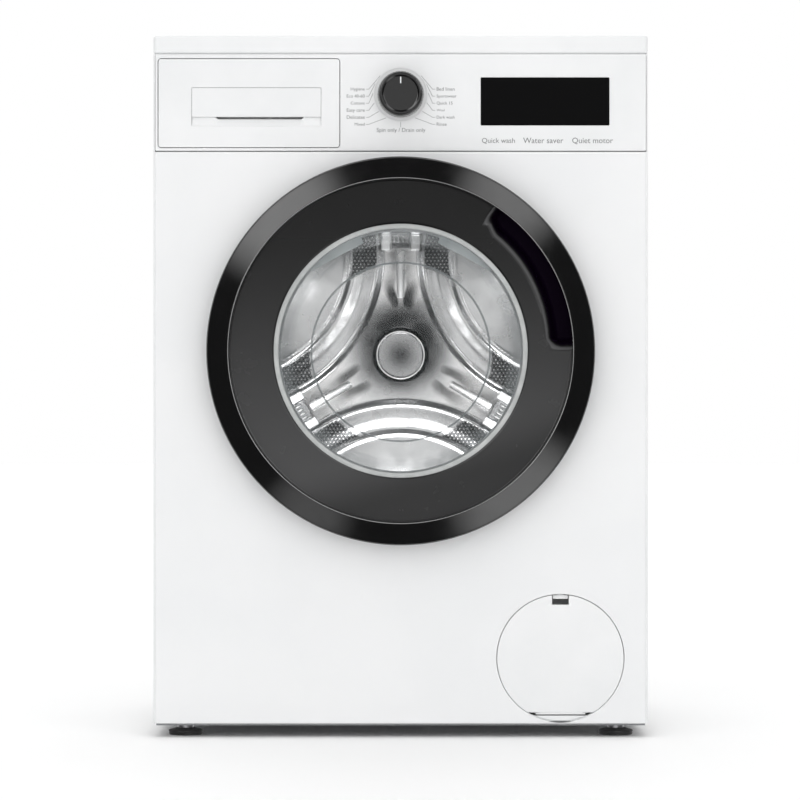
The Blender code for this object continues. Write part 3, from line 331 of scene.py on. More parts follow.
def prism(outline, front, back):
    """A body for cutting, from one depth to another."""
    return loft("cutter", [[(x, y, z) for x, z in outline] for y in (front, back)], None)


def block(x0, z0, x1, z1, y, depth=THROUGH):
    return prism([(x0, z0), (x1, z0), (x1, z1), (x0, z1)], y - depth, y + depth)


def disc(x, z, radius, y):
    return prism(circle(radius, (x, z), 40), y - THROUGH, y + THROUGH)


def carve(obj, cutters):
    """Cuts bodies out of a mesh and removes them."""
    for cutter in cutters:
        modifier = obj.modifiers.new("cut", "BOOLEAN")
        modifier.operation = "DIFFERENCE"
        modifier.solver = "EXACT"
        modifier.object = cutter
    graph = bpy.context.evaluated_depsgraph_get()
    mesh = bpy.data.meshes.new_from_object(obj.evaluated_get(graph))
    look = obj.data.materials[0]
    obj.modifiers.clear()
    obj.data = mesh
    mesh.materials.clear()
    mesh.materials.append(look)
    mesh.shade_smooth()
    mesh.set_sharp_from_angle(angle=math.radians(SHARP))
    for cutter in cutters:
        bpy.data.objects.remove(cutter)


def thicken(obj, thickness):
    """Gives a skin its wall, half to each side."""
    wall = obj.modifiers.new("wall", "SOLIDIFY")
    wall.thickness = thickness
    wall.offset = 0.0


def stand(piece, angle):
    """Turns a piece that was made upright from the drum's axis to its angle."""
    turn = Matrix.Rotation(math.radians(90 - angle), 4, "Y")
    piece.matrix_world = Matrix.Translation((0.0, 0.0, DOOR_Z)) @ turn


def repaint(obj, look, inside):
    """Gives another look to the polygons whose radius and depth from the machine's front pass a test."""
    obj.data.materials.append(look)
    for polygon in obj.data.polygons:
        radius = math.hypot(polygon.center.x, polygon.center.z - DOOR_Z)
        if inside(radius, polygon.center.y - F):
            polygon.material_index = 1


def resampled(line, count):
    """The same line with a fixed number of points, evenly spaced along it."""
    lengths = [0.0]
    for (a, b), (c, d) in zip(line, line[1:]):
        lengths.append(lengths[-1] + math.hypot(c - a, d - b))
    made, k = [], 0
    for step in range(count):
        target = lengths[-1] * step / (count - 1)
        while k < len(line) - 2 and lengths[k + 1] < target:
            k += 1
        (a, b), (c, d) = line[k], line[k + 1]
        span = lengths[k + 1] - lengths[k]
        t = 0.0 if span == 0 else min(1.0, (target - lengths[k]) / span)
        made.append((a + (c - a) * t, b + (d - b) * t))
    return made


# ---- materials
def shader_node(tree, kind, sockets, output=0, **settings):
    """A node with its settings made and its sockets set or linked. Gives one of its outputs."""
    node = tree.nodes.new("ShaderNode" + kind)
    for name, value in settings.items():
        setattr(node, name, value)
    for name, value in sockets.items():
        if isinstance(value, bpy.types.NodeSocket):
            tree.links.new(value, node.inputs[name])
        elif value is not None:
            node.inputs[name].default_value = value
    return node.outputs[output]


class Look:
    """A node material being built: noise, ramps and bumps on a Principled shader."""

    def __init__(self, name, colour, roughness, metallic=0.0):
        self.material = bpy.data.materials.new(name)
        self.material.use_nodes = True
        self.tree = self.material.node_tree
        self.shader = self.tree.nodes["Principled BSDF"]
        self.place = self.node("TexCoord", {}, "Object")
        self.set("Metallic", metallic)
        self.set("Base Color", (*colour, 1.0))
        self.set("Roughness", roughness)

    def node(self, kind, sockets, output=0, **settings):
        return shader_node(self.tree, kind, sockets, output, **settings)

    def set(self, socket, value):
        self.shader.inputs[socket].default_value = value

    def link(self, source, socket):
        self.tree.links.new(source, self.shader.inputs[socket])

    def noise(self, scale, detail=3.0, stretch=(1.0, 1.0, 1.0)):
        place = self.node("VectorMath", {0: self.place, 1: stretch}, operation="MULTIPLY")
        sockets = {"Vector": place, "Scale": scale, "Detail": detail, "Roughness": 0.5}
        return self.node("TexNoise", sockets, "Fac")

    def cells(self, scale):
        return self.node("TexVoronoi", {"Vector": self.place, "Scale": scale}, "Distance")

    def axis(self, name):
        return self.node("SeparateXYZ", {0: self.place}, name)

    def door_plane(self):
        """x and z from the door's axis."""
        return self.axis("X"), self.minus(self.axis("Z"), DOOR_Z)

    def maths(self, operation, one, two=None):
        return self.node("Math", {0: one, 1: two}, operation=operation)

    def times(self, first, *others):
        for other in others:
            first = self.maths("MULTIPLY", first, other)
        return first

    def plus(self, one, two):
        return self.maths("ADD", one, two)

    def minus(self, one, two):
        return self.maths("SUBTRACT", one, two)

    def length(self, one, two):
        return self.maths("SQRT", self.plus(self.maths("POWER", one, 2.0), self.maths("POWER", two, 2.0)))

    def span(self, source, low, high, out_low=0.0, out_high=1.0):
        """Goes softly from one value to another where the source goes from low to high."""
        limits = {"From Min": low, "From Max": high, "To Min": out_low, "To Max": out_high}
        return self.node("MapRange", {"Value": source, **limits}, "Result", interpolation_type="SMOOTHSTEP")

    def band(self, source, low, low_end, high_end, high):
        """1 between two values of the source and 0 outside, with soft ends."""
        return self.times(self.span(source, low, low_end), self.span(source, high_end, high, 1.0, 0.0))

    def tint(self, factor, other):
        """Goes from the present colour to another by a factor."""
        present = self.shader.inputs["Base Color"]
        now = present.links[0].from_socket if present.is_linked else tuple(present.default_value)
        sockets = {"Factor": factor, "A": now, "B": (*other, 1.0)}
        self.link(self.node("Mix", sockets, "Result", data_type="RGBA"), "Base Color")

    def clouds(self, scale, other, detail=3.0, low=0.35, high=0.7, most=1.0):
        """Noise patches of another colour."""
        self.tint(self.span(self.noise(scale, detail), low, high, 0.0, most), other)

    def rough(self, source, low, high, out_low, out_high):
        self.link(self.span(source, low, high, out_low, out_high), "Roughness")

    def wear(self, scale, least, most, detail=3.0, stretch=(1.0, 1.0, 1.0), high=0.7):
        """Noise patches of other roughness."""
        self.rough(self.noise(scale, detail, stretch), 0.3, high, least, most)

    def bump(self, source, distance, strength=1.0):
        normal = self.shader.inputs["Normal"]
        below = normal.links[0].from_socket if normal.is_linked else None
        sockets = {"Strength": strength, "Distance": distance, "Height": source, "Normal": below}
        self.link(self.node("Bump", sockets, "Normal"), "Normal")


def enamel():
    """Baked white enamel on sheet: a little orange peel and cloudiness."""
    look = Look("white_enamel", (0.86, 0.865, 0.87), 0.34)
    look.clouds(5.0, (0.83, 0.838, 0.845))
    look.wear(60.0, 0.28, 0.4)
    look.bump(look.noise(520.0, 2.0), 0.00002, 0.6)
    look.set("Coat Weight", 0.25)
    look.set("Coat Roughness", 0.12)
    return look.material


def moulded(name, colour, shade, roughness):
    """Moulded plastic with a fine spark-eroded grain and slight flow marks."""
    look = Look(name, colour, roughness)
    look.clouds(9.0, shade, detail=4.0)
    look.wear(140.0, roughness - 0.06, roughness + 0.08)
    look.bump(look.noise(2400.0, 2.0), 0.00003, 0.7)
    return look.material


def black_gloss(name="black_gloss", specular=0.5, coat=0.3):
    """Piano-black plastic with faint dust and polishing swirls."""
    look = Look(name, (0.0022, 0.0022, 0.0024), 0.13)
    look.clouds(900.0, (0.03, 0.03, 0.03), 1.0, 0.74, 0.82, 0.4)
    look.wear(38.0, 0.1, 0.18, detail=5.0, high=0.72)
    look.bump(look.noise(14.0, 2.0), 0.00012, 0.5)
    look.set("Specular IOR Level", specular)
    look.set("Coat Weight", coat)
    look.set("Coat Roughness", 0.05)
    return look.material


def smoked_plastic_painted_shade():
    """Smoked dark grey plastic round the window, painted black towards the top and with a painted darker
    patch across its foot, as shade from what it reflects.
    """
    look = Look("dark_grey_gloss", (0.064, 0.064, 0.065), 0.22)
    # Painted shade: black at the top, fading to the plastic's own dark grey towards the foot
    look.tint(look.span(look.axis("Z"), DOOR_Z - 0.21, DOOR_Z + 0.19), (0.0035, 0.0035, 0.0035))
    # Painted shade: a darker patch across the foot, more to the right
    foot = look.minus(look.times(look.axis("X"), 0.3), look.axis("Z"))
    look.tint(look.span(look.plus(foot, DOOR_Z), 0.11, 0.178, 0.0, 0.75), (0.012, 0.012, 0.012))
    look.clouds(1100.0, (0.1, 0.1, 0.1), 1.0, 0.74, 0.82, 0.25)
    look.wear(30.0, 0.18, 0.28, detail=4.0)
    look.bump(look.noise(700.0, 2.0), 0.00001, 0.5)
    look.set("Specular IOR Level", 0.25)
    return look.material


def pocket_plastic():
    """Inner side of the handle pocket: dark plastic with a painted highlight along its lip and painted shade
    that darkens it to almost black, with a violet tint, deeper in.
    """
    look = Look("handle_pocket", (0.022, 0.022, 0.022), 0.3)
    depth = look.axis("Y")
    # Painted highlight along the pocket's lip
    look.tint(look.band(depth, F - 0.0356, F - 0.0342, F - 0.0328, F - 0.027), (0.105, 0.105, 0.107))
    # Painted shade: darker, with a violet tint, deeper in the pocket
    look.tint(look.span(depth, F - 0.031, F - 0.021), (0.0042, 0.0012, 0.0066))
    look.wear(90.0, 0.26, 0.4)
    look.bump(look.noise(2000.0, 2.0), 0.00002, 0.6)
    look.set("Specular IOR Level", 0.02)
    return look.material


def clear_glass(name="door_glass_look", colour=(0.62, 0.68, 0.69), face=0.03, edge=0.26):
    """Pressed glass: nearly clear face on, greyer where the wall runs away as a painted reflection, with a
    painted dark line where its floor begins as the shade of the bowl's rounded corner.
    """
    look = Look(name, colour, 0.04)
    look.clouds(24.0, tuple(c + 0.1 for c in colour), detail=2.0)
    facing = look.node("LayerWeight", {"Blend": 0.5}, "Facing")
    # Painted reflection: the grey glass grows less clear as its wall turns away from view
    alpha = look.span(facing, 0.45, 1.0, face, edge)
    # Painted shade: a dark, less clear line round the bowl where its floor begins
    band = look.band(look.length(*look.door_plane()), 0.1078, 0.1094, 0.11, 0.1116)
    turn = look.times(band, look.span(look.axis("Y"), F + 0.07, F + 0.072, 0.0, 0.62))
    look.tint(turn, (0.05, 0.052, 0.053))
    look.link(look.maths("MAXIMUM", alpha, turn), "Alpha")
    look.wear(50.0, 0.02, 0.07)
    look.bump(look.noise(9.0, 2.0), 0.0006, 0.3)
    look.set("IOR", 1.5)
    return look.material


def stainless(name, colour=(0.66, 0.665, 0.67), roughness=0.24, waves=0.0009, brushed=True):
    """Rolled stainless sheet, slightly wavy from pressing. Brushed sheet has its grain along one way."""
    look = Look(name, colour, roughness, 1.0)
    grain = (1.0, 1.0, 9.0) if brushed else (1.0, 1.0, 1.0)
    look.clouds(16.0, tuple(c * 0.78 for c in colour), 5.0, high=0.68, most=0.5)
    look.wear(40.0, roughness - 0.05, roughness + 0.08, 6.0, grain)
    look.bump(look.noise(11.0, 2.0), waves, 0.6)
    look.bump(look.noise(420.0, 3.0, grain), 0.00001, 0.5)
    return look


def perforated(look, across, along, pitch, radius, zone=None, colour=(0.004, 0.004, 0.004)):
    """Round holes or dots in rows across two directions, offset in every other row, all over or in a zone."""
    rows = pitch * 0.866
    row = look.maths("DIVIDE", along, rows)
    odd = look.maths("MODULO", look.maths("FLOOR", row), 2.0)
    column = look.plus(look.maths("DIVIDE", across, pitch), look.times(odd, 0.5))
    du = look.times(look.minus(look.maths("FRACT", column), 0.5), pitch)
    dv = look.times(look.minus(look.maths("FRACT", row), 0.5), rows)
    distance = look.length(du, dv)
    hole = look.span(distance, radius * 0.8, radius * 1.1, 1.0, 0.0)
    dent = look.span(distance, radius * 0.9, radius * 1.9)
    if zone is not None:
        hole = look.times(hole, zone)
        dent = look.maths("MAXIMUM", dent, look.minus(1.0, zone))
    look.tint(hole, colour)
    look.bump(dent, 0.0004, 0.7)
    return look.material


def drum_wall_look():
    """Drum sheet with its pierced holes in rows round the wall."""
    look = stainless("drum_wall_look", roughness=0.27)
    x, z = look.door_plane()
    round_wall = look.plus(look.times(look.maths("ARCTAN2", z, x), 0.2375), 1.0)
    return perforated(look, round_wall, look.plus(look.axis("Y"), 0.5), 0.0146, 0.0021)


def spangled(name, colour):
    """Zinc-coated sheet with its crystal pattern."""
    look = Look(name, colour, 0.42, 1.0)
    look.tint(look.cells(95.0), tuple(c * 0.7 for c in colour))
    look.rough(look.cells(95.0), 0.0, 0.8, 0.3, 0.56)
    look.bump(look.noise(260.0), 0.00004, 0.5)
    return look.material


def cast(name, colour, roughness, metallic):
    """Cast or machined metal: grainy with duller patches."""
    look = Look(name, colour, roughness, metallic)
    look.clouds(34.0, tuple(c * 0.6 for c in colour), 6.0, low=0.38, most=0.8)
    look.wear(90.0, roughness - 0.1, roughness + 0.15, detail=5.0)
    look.bump(look.noise(900.0, 3.0), 0.00008, 0.7)
    return look.material


def rubber(name, colour, bloom):
    """Moulded rubber with a dusty bloom."""
    look = Look(name, colour, 0.62)
    look.clouds(45.0, bloom, 5.0, 0.4, 0.75, 0.8)
    look.wear(120.0, 0.5, 0.75, detail=4.0)
    look.bump(look.noise(1500.0, 2.0), 0.00005, 0.7)
    look.set("Sheen Weight", 0.15)
    return look.material


def concrete():
    look = Look("concrete_look", (0.4, 0.39, 0.37), 0.9)
    look.clouds(28.0, (0.27, 0.265, 0.255), detail=8.0)
    look.tint(look.span(look.cells(180.0), 0.0, 0.22, 0.8, 0.0), (0.12, 0.12, 0.115))
    look.bump(look.noise(170.0, 8.0), 0.0006, 0.7)
    return look.material


def ink(name, colour):
    """Screen-printed ink, a little uneven."""
    look = Look(name, colour, 0.55)
    look.clouds(2600.0, tuple(c * 1.5 + 0.02 for c in colour), 2.0, 0.45, 0.8, 0.5)
    look.bump(look.noise(3000.0), 0.00001, 0.4)
    return look.material


WHITE_ENAMEL = enamel()
WHITE_PLASTIC = moulded("white_plastic_look", (0.85, 0.855, 0.86), (0.81, 0.82, 0.825), 0.38)
GREY_PLASTIC = moulded("grey_plastic_look", (0.4, 0.41, 0.42), (0.34, 0.35, 0.36), 0.46)
DARK_PLASTIC = moulded("dark_plastic_look", (0.045, 0.046, 0.048), (0.07, 0.07, 0.072), 0.34)
BLACK_GLOSS = black_gloss()
DISPLAY_GLASS = black_gloss("display_glass_look", 0.06, 0.0)
SMOKED_PAINTED_SHADE = smoked_plastic_painted_shade()
POCKET = pocket_plastic()
# Lighter grey that paints the glint on the door ring's inner edge
RING_EDGE_GLINT = moulded("ring_edge_look", (0.34, 0.34, 0.34), (0.24, 0.24, 0.24), 0.3)
GLASS = clear_glass()
DRUM_WALL = drum_wall_look()
ZINC = spangled("zinc_look", (0.58, 0.6, 0.62))
ALUMINIUM = cast("aluminium_look", (0.62, 0.63, 0.64), 0.4, 1.0)
STEEL = cast("steel_look", (0.5, 0.5, 0.52), 0.34, 1.0)
MOTOR = cast("motor_look", (0.33, 0.34, 0.36), 0.5, 1.0)
GREY_RUBBER = rubber("grey_rubber_look", (0.3, 0.31, 0.32), (0.42, 0.43, 0.44))
BLACK_RUBBER = rubber("black_rubber_look", (0.022, 0.022, 0.023), (0.06, 0.06, 0.06))
CONCRETE = concrete()
GREY_INK = ink("grey_ink", (0.16, 0.16, 0.165))
SEAL = rubber("window_seal_look", (0.43, 0.445, 0.44), (0.56, 0.57, 0.565))
# Paler, less clear glass for the bowl's flats: a painted reflection
FLAT_GLASS = clear_glass("bowl_flat_look", (0.42, 0.47, 0.48), 0.45, 0.7)


# ---- case
def make_case():
    """Side walls and back from one sheet with rounded folds, lips behind the front and holes in the back."""
    half, lip, thick = CASE_HIGH.x, 0.022, 0.001
    front_r, rear_r, frame_width = 0.0035, 0.006, 0.02
    port_r, gland_r, controls_half = 0.0145, 0.0105, 0.297

    def wall(inward):
        x, front, rear = half - inward, CASE_LOW.y + inward, CASE_HIGH.y - inward
        line = [
            (half - lip, front), (x, front, front_r - inward), (x, rear, rear_r - inward),
            (-x, rear, rear_r - inward), (-x, front, front_r - inward), (lip - half, front),
        ]
        return rounded(line, 6)

    loop = wall(0.0) + wall(thick)[::-1]
    case = loft("case", [[(x, y, z) for x, y in loop] for z in (CASE_LOW.z, CASE_HIGH.z)], WHITE_ENAMEL)
    (x0, z0), (x1, z1) = xz(COVER_LOW, COVER_HIGH)
    carve(case, [
        block(x0 + frame_width, z0 + frame_width, x1 - frame_width, z1 - frame_width, R),
        disc(*middle("inlet_valve"), port_r, R),
        disc(*middle("mains_gland"), gland_r, R),
        disc(*DRAIN_PORT, port_r, R),
        block(-controls_half, PANEL_HIGH.z, controls_half, TOP_HIGH.z, F, front_r),
    ])
    fit(case, "cabinet", "white_enamel", "cabinet_shell")


def make_front_panel():
    """Front sheet with rolled edges, the dish that seats the door, the flap's hole and the latch's slot."""
    edge = plate(*xz(PANEL_LOW, PANEL_HIGH), 0.003, roll(0.0014, 0.006))
    dish = rounded([
        (0.231, 0.0), (0.229, 0.0, 0.003), (0.224, 0.008, 0.004), (0.177, 0.008, 0.003),
        (0.1725, 0.0115, 0.002), (0.1725, 0.022),
    ])
    seat = [(circle(radius, (0.0, DOOR_Z)), y) for radius, y in at_front(dish)]
    gap, rolled = 0.0008, roll(0.0005, 0.003, 2)
    hole = [(circle(FLAP_R + gap + inset, (FLAP_X, FLAP_Z), 96), F + y) for inset, y in rolled]
    panel = pressed_face("front_sheet", [edge, seat, hole], WHITE_ENAMEL)
    latch_slot = block(0.194, DOOR_Z - 0.042, 0.2145, DOOR_Z - 0.018, F + 0.012)
    carve(panel, [latch_slot])
    fit(panel, "cabinet", "white_enamel", "front_panel")


def make_worktop():
    """Laminated board set in a moulded edge, with a fine joint round the board."""
    low, high = (TOP_LOW.x, TOP_LOW.y), (TOP_HIGH.x, TOP_HIGH.y)
    bottom, top = TOP_LOW.z, TOP_HIGH.z
    rolled = ((0.0, 0.0), (0.0003, 0.0012), (0.001, 0.0023), (0.0021, 0.003), (0.0034, 0.0032))
    joint = (
        (0.02, 0.0), (0.0203, -0.0003), (0.0205, -0.001), (0.0211, -0.001), (0.0213, -0.0004),
        (0.0218, -0.0002),
    )
    steps = [(0.012, bottom), (0.002, bottom), (0.0, bottom + 0.002)]
    steps += [(inset, top - 0.0032 + rise) for inset, rise in rolled]
    steps += [(inset, top + rise) for inset, rise in joint]
    sections = [[(x, y, z) for x, y in rounded_rectangle(low, high, 0.006, inset)] for inset, z in steps]
    fit(loft("worktop_board", sections, WHITE_PLASTIC), "cabinet", "white_plastic", "worktop")


def make_rear_cover():
    """Removable back cover with pressed ribs and its screws."""
    front, back = COVER_LOW.y, COVER_HIGH.y
    low, high = xz(COVER_LOW, COVER_HIGH)
    half_length, half_height, first, spacing = 0.13, 0.012, 0.1, 0.09
    rim = plate(low, high, 0.012, [(inset, -y) for inset, y in roll(0.0005, back - front, 2)], back)
    wall = [(0.0, 0.0), (0.002, 0.0), (0.004, -0.0002), (0.0065, -0.0007), (0.008, -0.0008)]
    ribs = []
    for k in range(5):
        z = low[1] + first + spacing * k
        rib_low, rib_high = (-half_length, z - half_height), (half_length, z + half_height)
        ribs.append(plate(rib_low, rib_high, 0.0119, wall, back))
    pieces = [pressed_face("back_cover", [rim] + ribs, ZINC)]
    pieces += [pressed_face("rib", [[rings[-1]]], ZINC) for rings in ribs]
    screw = [(0.0, 0.0026), (0.0028, 0.0026), (0.003, 0.0008), (0.0055, 0.0006), (0.0055, 0.0)]
    for x in (low[0] + 0.012, high[0] - 0.012):
        for z in (low[1] + 0.015, (low[1] + high[1]) / 2, high[1] - 0.015):
            pieces.append(turned("screw", [(r, back + y) for r, y in screw], STEEL, (x, z), count=18))
    fit(merged("back_cover", pieces), "cabinet", "zinc", "rear_cover")


def make_feet():
    """Levelling feet: a rubber sole with grooves, a lock nut and a threaded stem."""
    sole = rounded([
        (0.0, 0.0), (0.02, 0.0, 0.001), (0.0206, 0.0024, 0.0004), (0.02, 0.0031, 0.0004),
        (0.0207, 0.0038, 0.0004), (0.0209, 0.006, 0.001), (0.012, 0.0085, 0.002), (0.0108, 0.0088),
        (0.0, 0.0088),
    ], 3)
    stem = [(0.0, 0.0085), (0.0098, 0.0088), (0.0098, 0.0124), (0.0049, 0.0125)]
    for k in range(16):
        z = 0.0128 + 0.00125 * k
        stem += [(0.0049, z), (0.0044, z + 0.0006)]
    for name in ("foot_front_left", "foot_front_right", "foot_rear_left", "foot_rear_right"):
        top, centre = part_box(name)[1].z, middle(name, "y")
        foot = merged("levelling_" + name, [
            turned("sole", sole, BLACK_RUBBER, centre, "Z", 48),
            turned("stem", [*stem, (0.0, top)], STEEL, centre, "Z", 24),
        ])
        fit(foot, name, "rubber_black", name)


# ---- controls
def make_fascia():
    """Moulded control panel with openings for the drawer, the display and the knob."""
    edge = plate(*xz(FASCIA_LOW, FASCIA_HIGH), 0.0014, roll(0.001, 0.012))
    drawer = opening(*xz(DRAWER_LOW, DRAWER_HIGH), 0.0038, roll(0.0003, 0.011, 2), 0.0009)
    display = opening(*xz(DISPLAY_LOW, DISPLAY_HIGH), 0.001, roll(0.0003, 0.003, 2), 0.0003)
    seat = rounded([
        (0.0335, 0.0), (0.0322, 0.0, 0.0006), (0.0306, 0.0005, 0.0006), (0.0075, 0.0005, 0.0003),
        (0.007, 0.0025),
    ], 4)
    knob = [(circle(radius, (0.0, KNOB_Z), 96), y) for radius, y in at_front(seat)]
    fascia = pressed_face("fascia", [edge, drawer, display, knob], WHITE_PLASTIC)
    fit(fascia, "cabinet", "white_plastic", "control_fascia")


def make_display():
    edge = plate(*xz(DISPLAY_LOW, DISPLAY_HIGH), 0.0008, roll(0.0003, 0.0025, 2))
    fit(pressed_face("display_glass", [edge], DISPLAY_GLASS), "cabinet", "black_gloss", "display_window")


def make_knob():
    """Programme knob: a turned body with a fine grip, a shallow dished face and a pointer line."""
    face, seat = KNOB_LOW.y, F - 0.0006
    grooves, groove_depth = 48, 0.012
    profile = rounded([
        (0.0, face + 0.001), (0.0205, face + 0.001, 0.002), (0.0225, face, 0.0006), (0.0253, face, 0.0015),
        (0.0272, face + 0.0045, 0.003), (0.0278, seat - 0.0008, 0.0004), (0.0268, seat), (0.004, seat),
        (0.004, KNOB_HIGH.y), (0.0, KNOB_HIGH.y),
    ])
    knob = turned("knob_body", profile, BLACK_GLOSS, (0.0, KNOB_Z), count=144)
    for vert in knob.data.vertices:
        dx, dz = vert.co.x, vert.co.z - KNOB_Z
        if math.hypot(dx, dz) > 0.0262 and vert.co.y < seat - 0.001:
            grip = 1.0 - groove_depth * (0.5 + 0.5 * math.cos(grooves * math.atan2(dz, dx)))
            vert.co.x, vert.co.z = dx * grip, KNOB_Z + dz * grip
    outline = rounded_rectangle((-0.0007, KNOB_Z + 0.012), (0.0007, KNOB_Z + 0.02), 0.0006)
    sections = [[(x, face + y, z) for x, z in outline] for y in (0.0012, 0.0007)]
    pointer = loft("pointer", sections, WHITE_PLASTIC)
    fit(merged("knob_body", [knob, pointer]), "knob", "black_gloss", "programme_knob")


def lettering(text, left, right, z):
    """A line of print on the fascia, as wide as from left to right."""
    curve = bpy.data.curves.new(text, "FONT")
    curve.body = text
    curve.align_x = "LEFT"
    curve.align_y = "CENTER"
    curve.resolution_u = 4
    made = linked("lettering", curve)
    bpy.context.view_layer.update()
    graph = bpy.context.evaluated_depsgraph_get()
    mesh = bpy.data.meshes.new_from_object(made.evaluated_get(graph))
    bpy.data.objects.remove(made)
    xs = [vert.co.x for vert in mesh.vertices]
    scale = (right - left) / (max(xs) - min(xs))
    for vert in mesh.vertices:
        vert.co = (left + (vert.co.x - min(xs)) * scale, WORD_Y, z + vert.co.y * scale)
    mesh.materials.clear()
    mesh.materials.append(GREY_INK)
    return linked("lettering", mesh)


def stroke(points):
    """A thin printed line along points (x, z)."""
    width = 0.00045
    bm = bmesh.new()
    for (x0, z0), (x1, z1) in zip(points, points[1:]):
        along = Vector((x1 - x0, z1 - z0)).normalized() * width / 2
        ax, az, sx, sz = along.x, along.y, -along.y, along.x
        corners = [
            (x0 - ax + sx, z0 - az + sz), (x1 + ax + sx, z1 + az + sz),
            (x1 + ax - sx, z1 + az - sz), (x0 - ax - sx, z0 - az - sz),
        ]
        bm.faces.new([bm.verts.new((x, LINE_Y, z)) for x, z in corners])
    return finish_mesh("stroke", bm, GREY_INK)


def make_print():
    """Plain programme words round the knob, with leader lines, and three words under the display."""
    columns = {
        -1: ("Mixed", "Delicates", "Easy care", "Cottons", "Eco 40-60", "Hygiene"),
        1: ("Rinse", "Dark wash", "Wool", "Quick 15", "Sportswear", "Bed linen"),
    }
    near, bend_x, rim = 0.0435, 0.0385, 0.0335
    first, pitch, letter = -0.0362, 0.0085, 0.0024
    pieces = []
    for side, column in columns.items():
        for row, word in enumerate(column):
            z = KNOB_Z + first + pitch * row
            far = near + letter * len(word)
            pieces.append(lettering(word, *((near, far) if side > 0 else (-far, -near)), z))
            x, start_z = polar(rim, math.radians(-58 + 20 * row), (0.0, KNOB_Z))
            leader = [(x, start_z), (max(bend_x, x), z), (near - 0.002, z)]
            pieces.append(stroke([(side * a, b) for a, b in leader]))
    pieces.append(stroke([(0.0, KNOB_Z - rim), (0.0, KNOB_Z - 0.0395)]))
    pieces.append(lettering("Spin only / Drain only", -0.029, 0.03, KNOB_Z - 0.0432))
    under = FASCIA_LOW.z + 0.0122
    pieces.append(lettering("Quick wash", 0.0982, 0.138, under))
    pieces.append(lettering("Water saver", 0.148, 0.1965, under))
    pieces.append(lettering("Quiet motor", 0.2073, 0.2565, under))
    fit(merged("printed_words", pieces), "cabinet", "dark_grey_gloss")


# ---- detergent drawer
def make_drawer_front():
    """Drawer face: a panel set in a shallow step, over a scoop that leads the fingers up behind it."""
    step_low, step_high = (-0.2527, 0.7383), (-0.096, 0.785)
    bar_z, gap, scoop_back, roof, slices = 0.7495, 0.0003, 0.0155, 0.777, 60
    edge = plate(*xz(DRAWER_LOW, DRAWER_HIGH), 0.0034, roll(0.0004, 0.003, 2))
    step = opening(step_low, step_high, 0.0012, roll(0.0003, 0.0009, 2))
    face = pressed_face("face", [edge, step], WHITE_PLASTIC)
    bar_low, bar_high = (step_low[0] + gap, bar_z), (step_high[0] - gap, step_high[1] - gap)
    bar_edge = plate(bar_low, bar_high, 0.0009, roll(0.0006, 0.0026, 3), F + 0.0004)
    bar = pressed_face("bar", [bar_edge], WHITE_PLASTIC)
    sections = []
    for k in range(slices + 1):
        x = step_low[0] + 0.0002 + (step_high[0] - step_low[0] - 0.0004) * k / slices
        open_here = smoothstep(-0.2238, -0.2208, x) * (1 - smoothstep(-0.1202, -0.1172, x))
        crest = bar_z + 0.0006 - 0.0028 * open_here
        lip = 0.0034 + 0.0014 * open_here
        line = rounded([
            (0.0009, step_low[1] + 0.0001), (0.0012, step_low[1] + 0.0004, 0.0003),
            (lip - 0.0008, crest - 0.0012, 0.001), (lip, crest, 0.0006), (scoop_back, crest + 0.0008, 0.002),
            (scoop_back + 0.001, roof, 0.004), (0.003, roof),
        ])
        sections.append([(x, F + y, z) for y, z in line])
    scoop = loft("scoop", sections, WHITE_PLASTIC, closed=False, caps=False)
    fit(merged("drawer_face", [face, bar, scoop]), "drawer", "white_plastic", "drawer_front")


# ---- door
def make_ring():
    """Outer ring of piano-black plastic, a cone that stands out to its inner edge, where a thin band is
    painted lighter as a highlight.
    """
    skin = rounded([
        (0.2333, -0.0045), (0.2338, -0.026, 0.004), (0.2322, -0.029, 0.003), (0.2078, -0.0418, 0.0008),
        (0.2068, -0.0413, 0.0003), (0.2063, -0.0392, 0.0004), (0.2062, -0.0345),
    ], 9)
    inner = rounded([
        (0.2081, -0.0345), (0.2083, -0.0388, 0.001), (0.2103, -0.0388, 0.001), (0.2304, -0.0278, 0.003),
        (0.2316, -0.0254, 0.003), (0.2312, -0.0045),
    ], 9)
    ring = turned("ring", at_front(skin + inner), BLACK_GLOSS, count=240, closed=True, sharp=40)
    carve(ring, [prism(HINGE_NOTCH, F - 0.0237, F + 0.03)])
    # Painted highlight: the thin band at the ring's inner edge gets the lighter look
    repaint(ring, RING_EDGE_GLINT, lambda radius, y: 0.2066 < radius < 0.2075 and y < -0.04)
    fit(ring, "door", "black_gloss", "door_ring")


def pocket_inner_radius(angle):
    """The handle pocket widens a little towards its lower end, and both its inner corners are rounded."""
    lower = max(0.0, (37.0 - angle) / 37.0)
    corner = 1 - smoothstep(POCKET_START - 1.0, POCKET_START + 4.5, angle)
    upper = smoothstep(50.0, 57.5, angle)
    return 0.1784 - 0.003 * lower + 0.012 * corner + 0.01 * upper


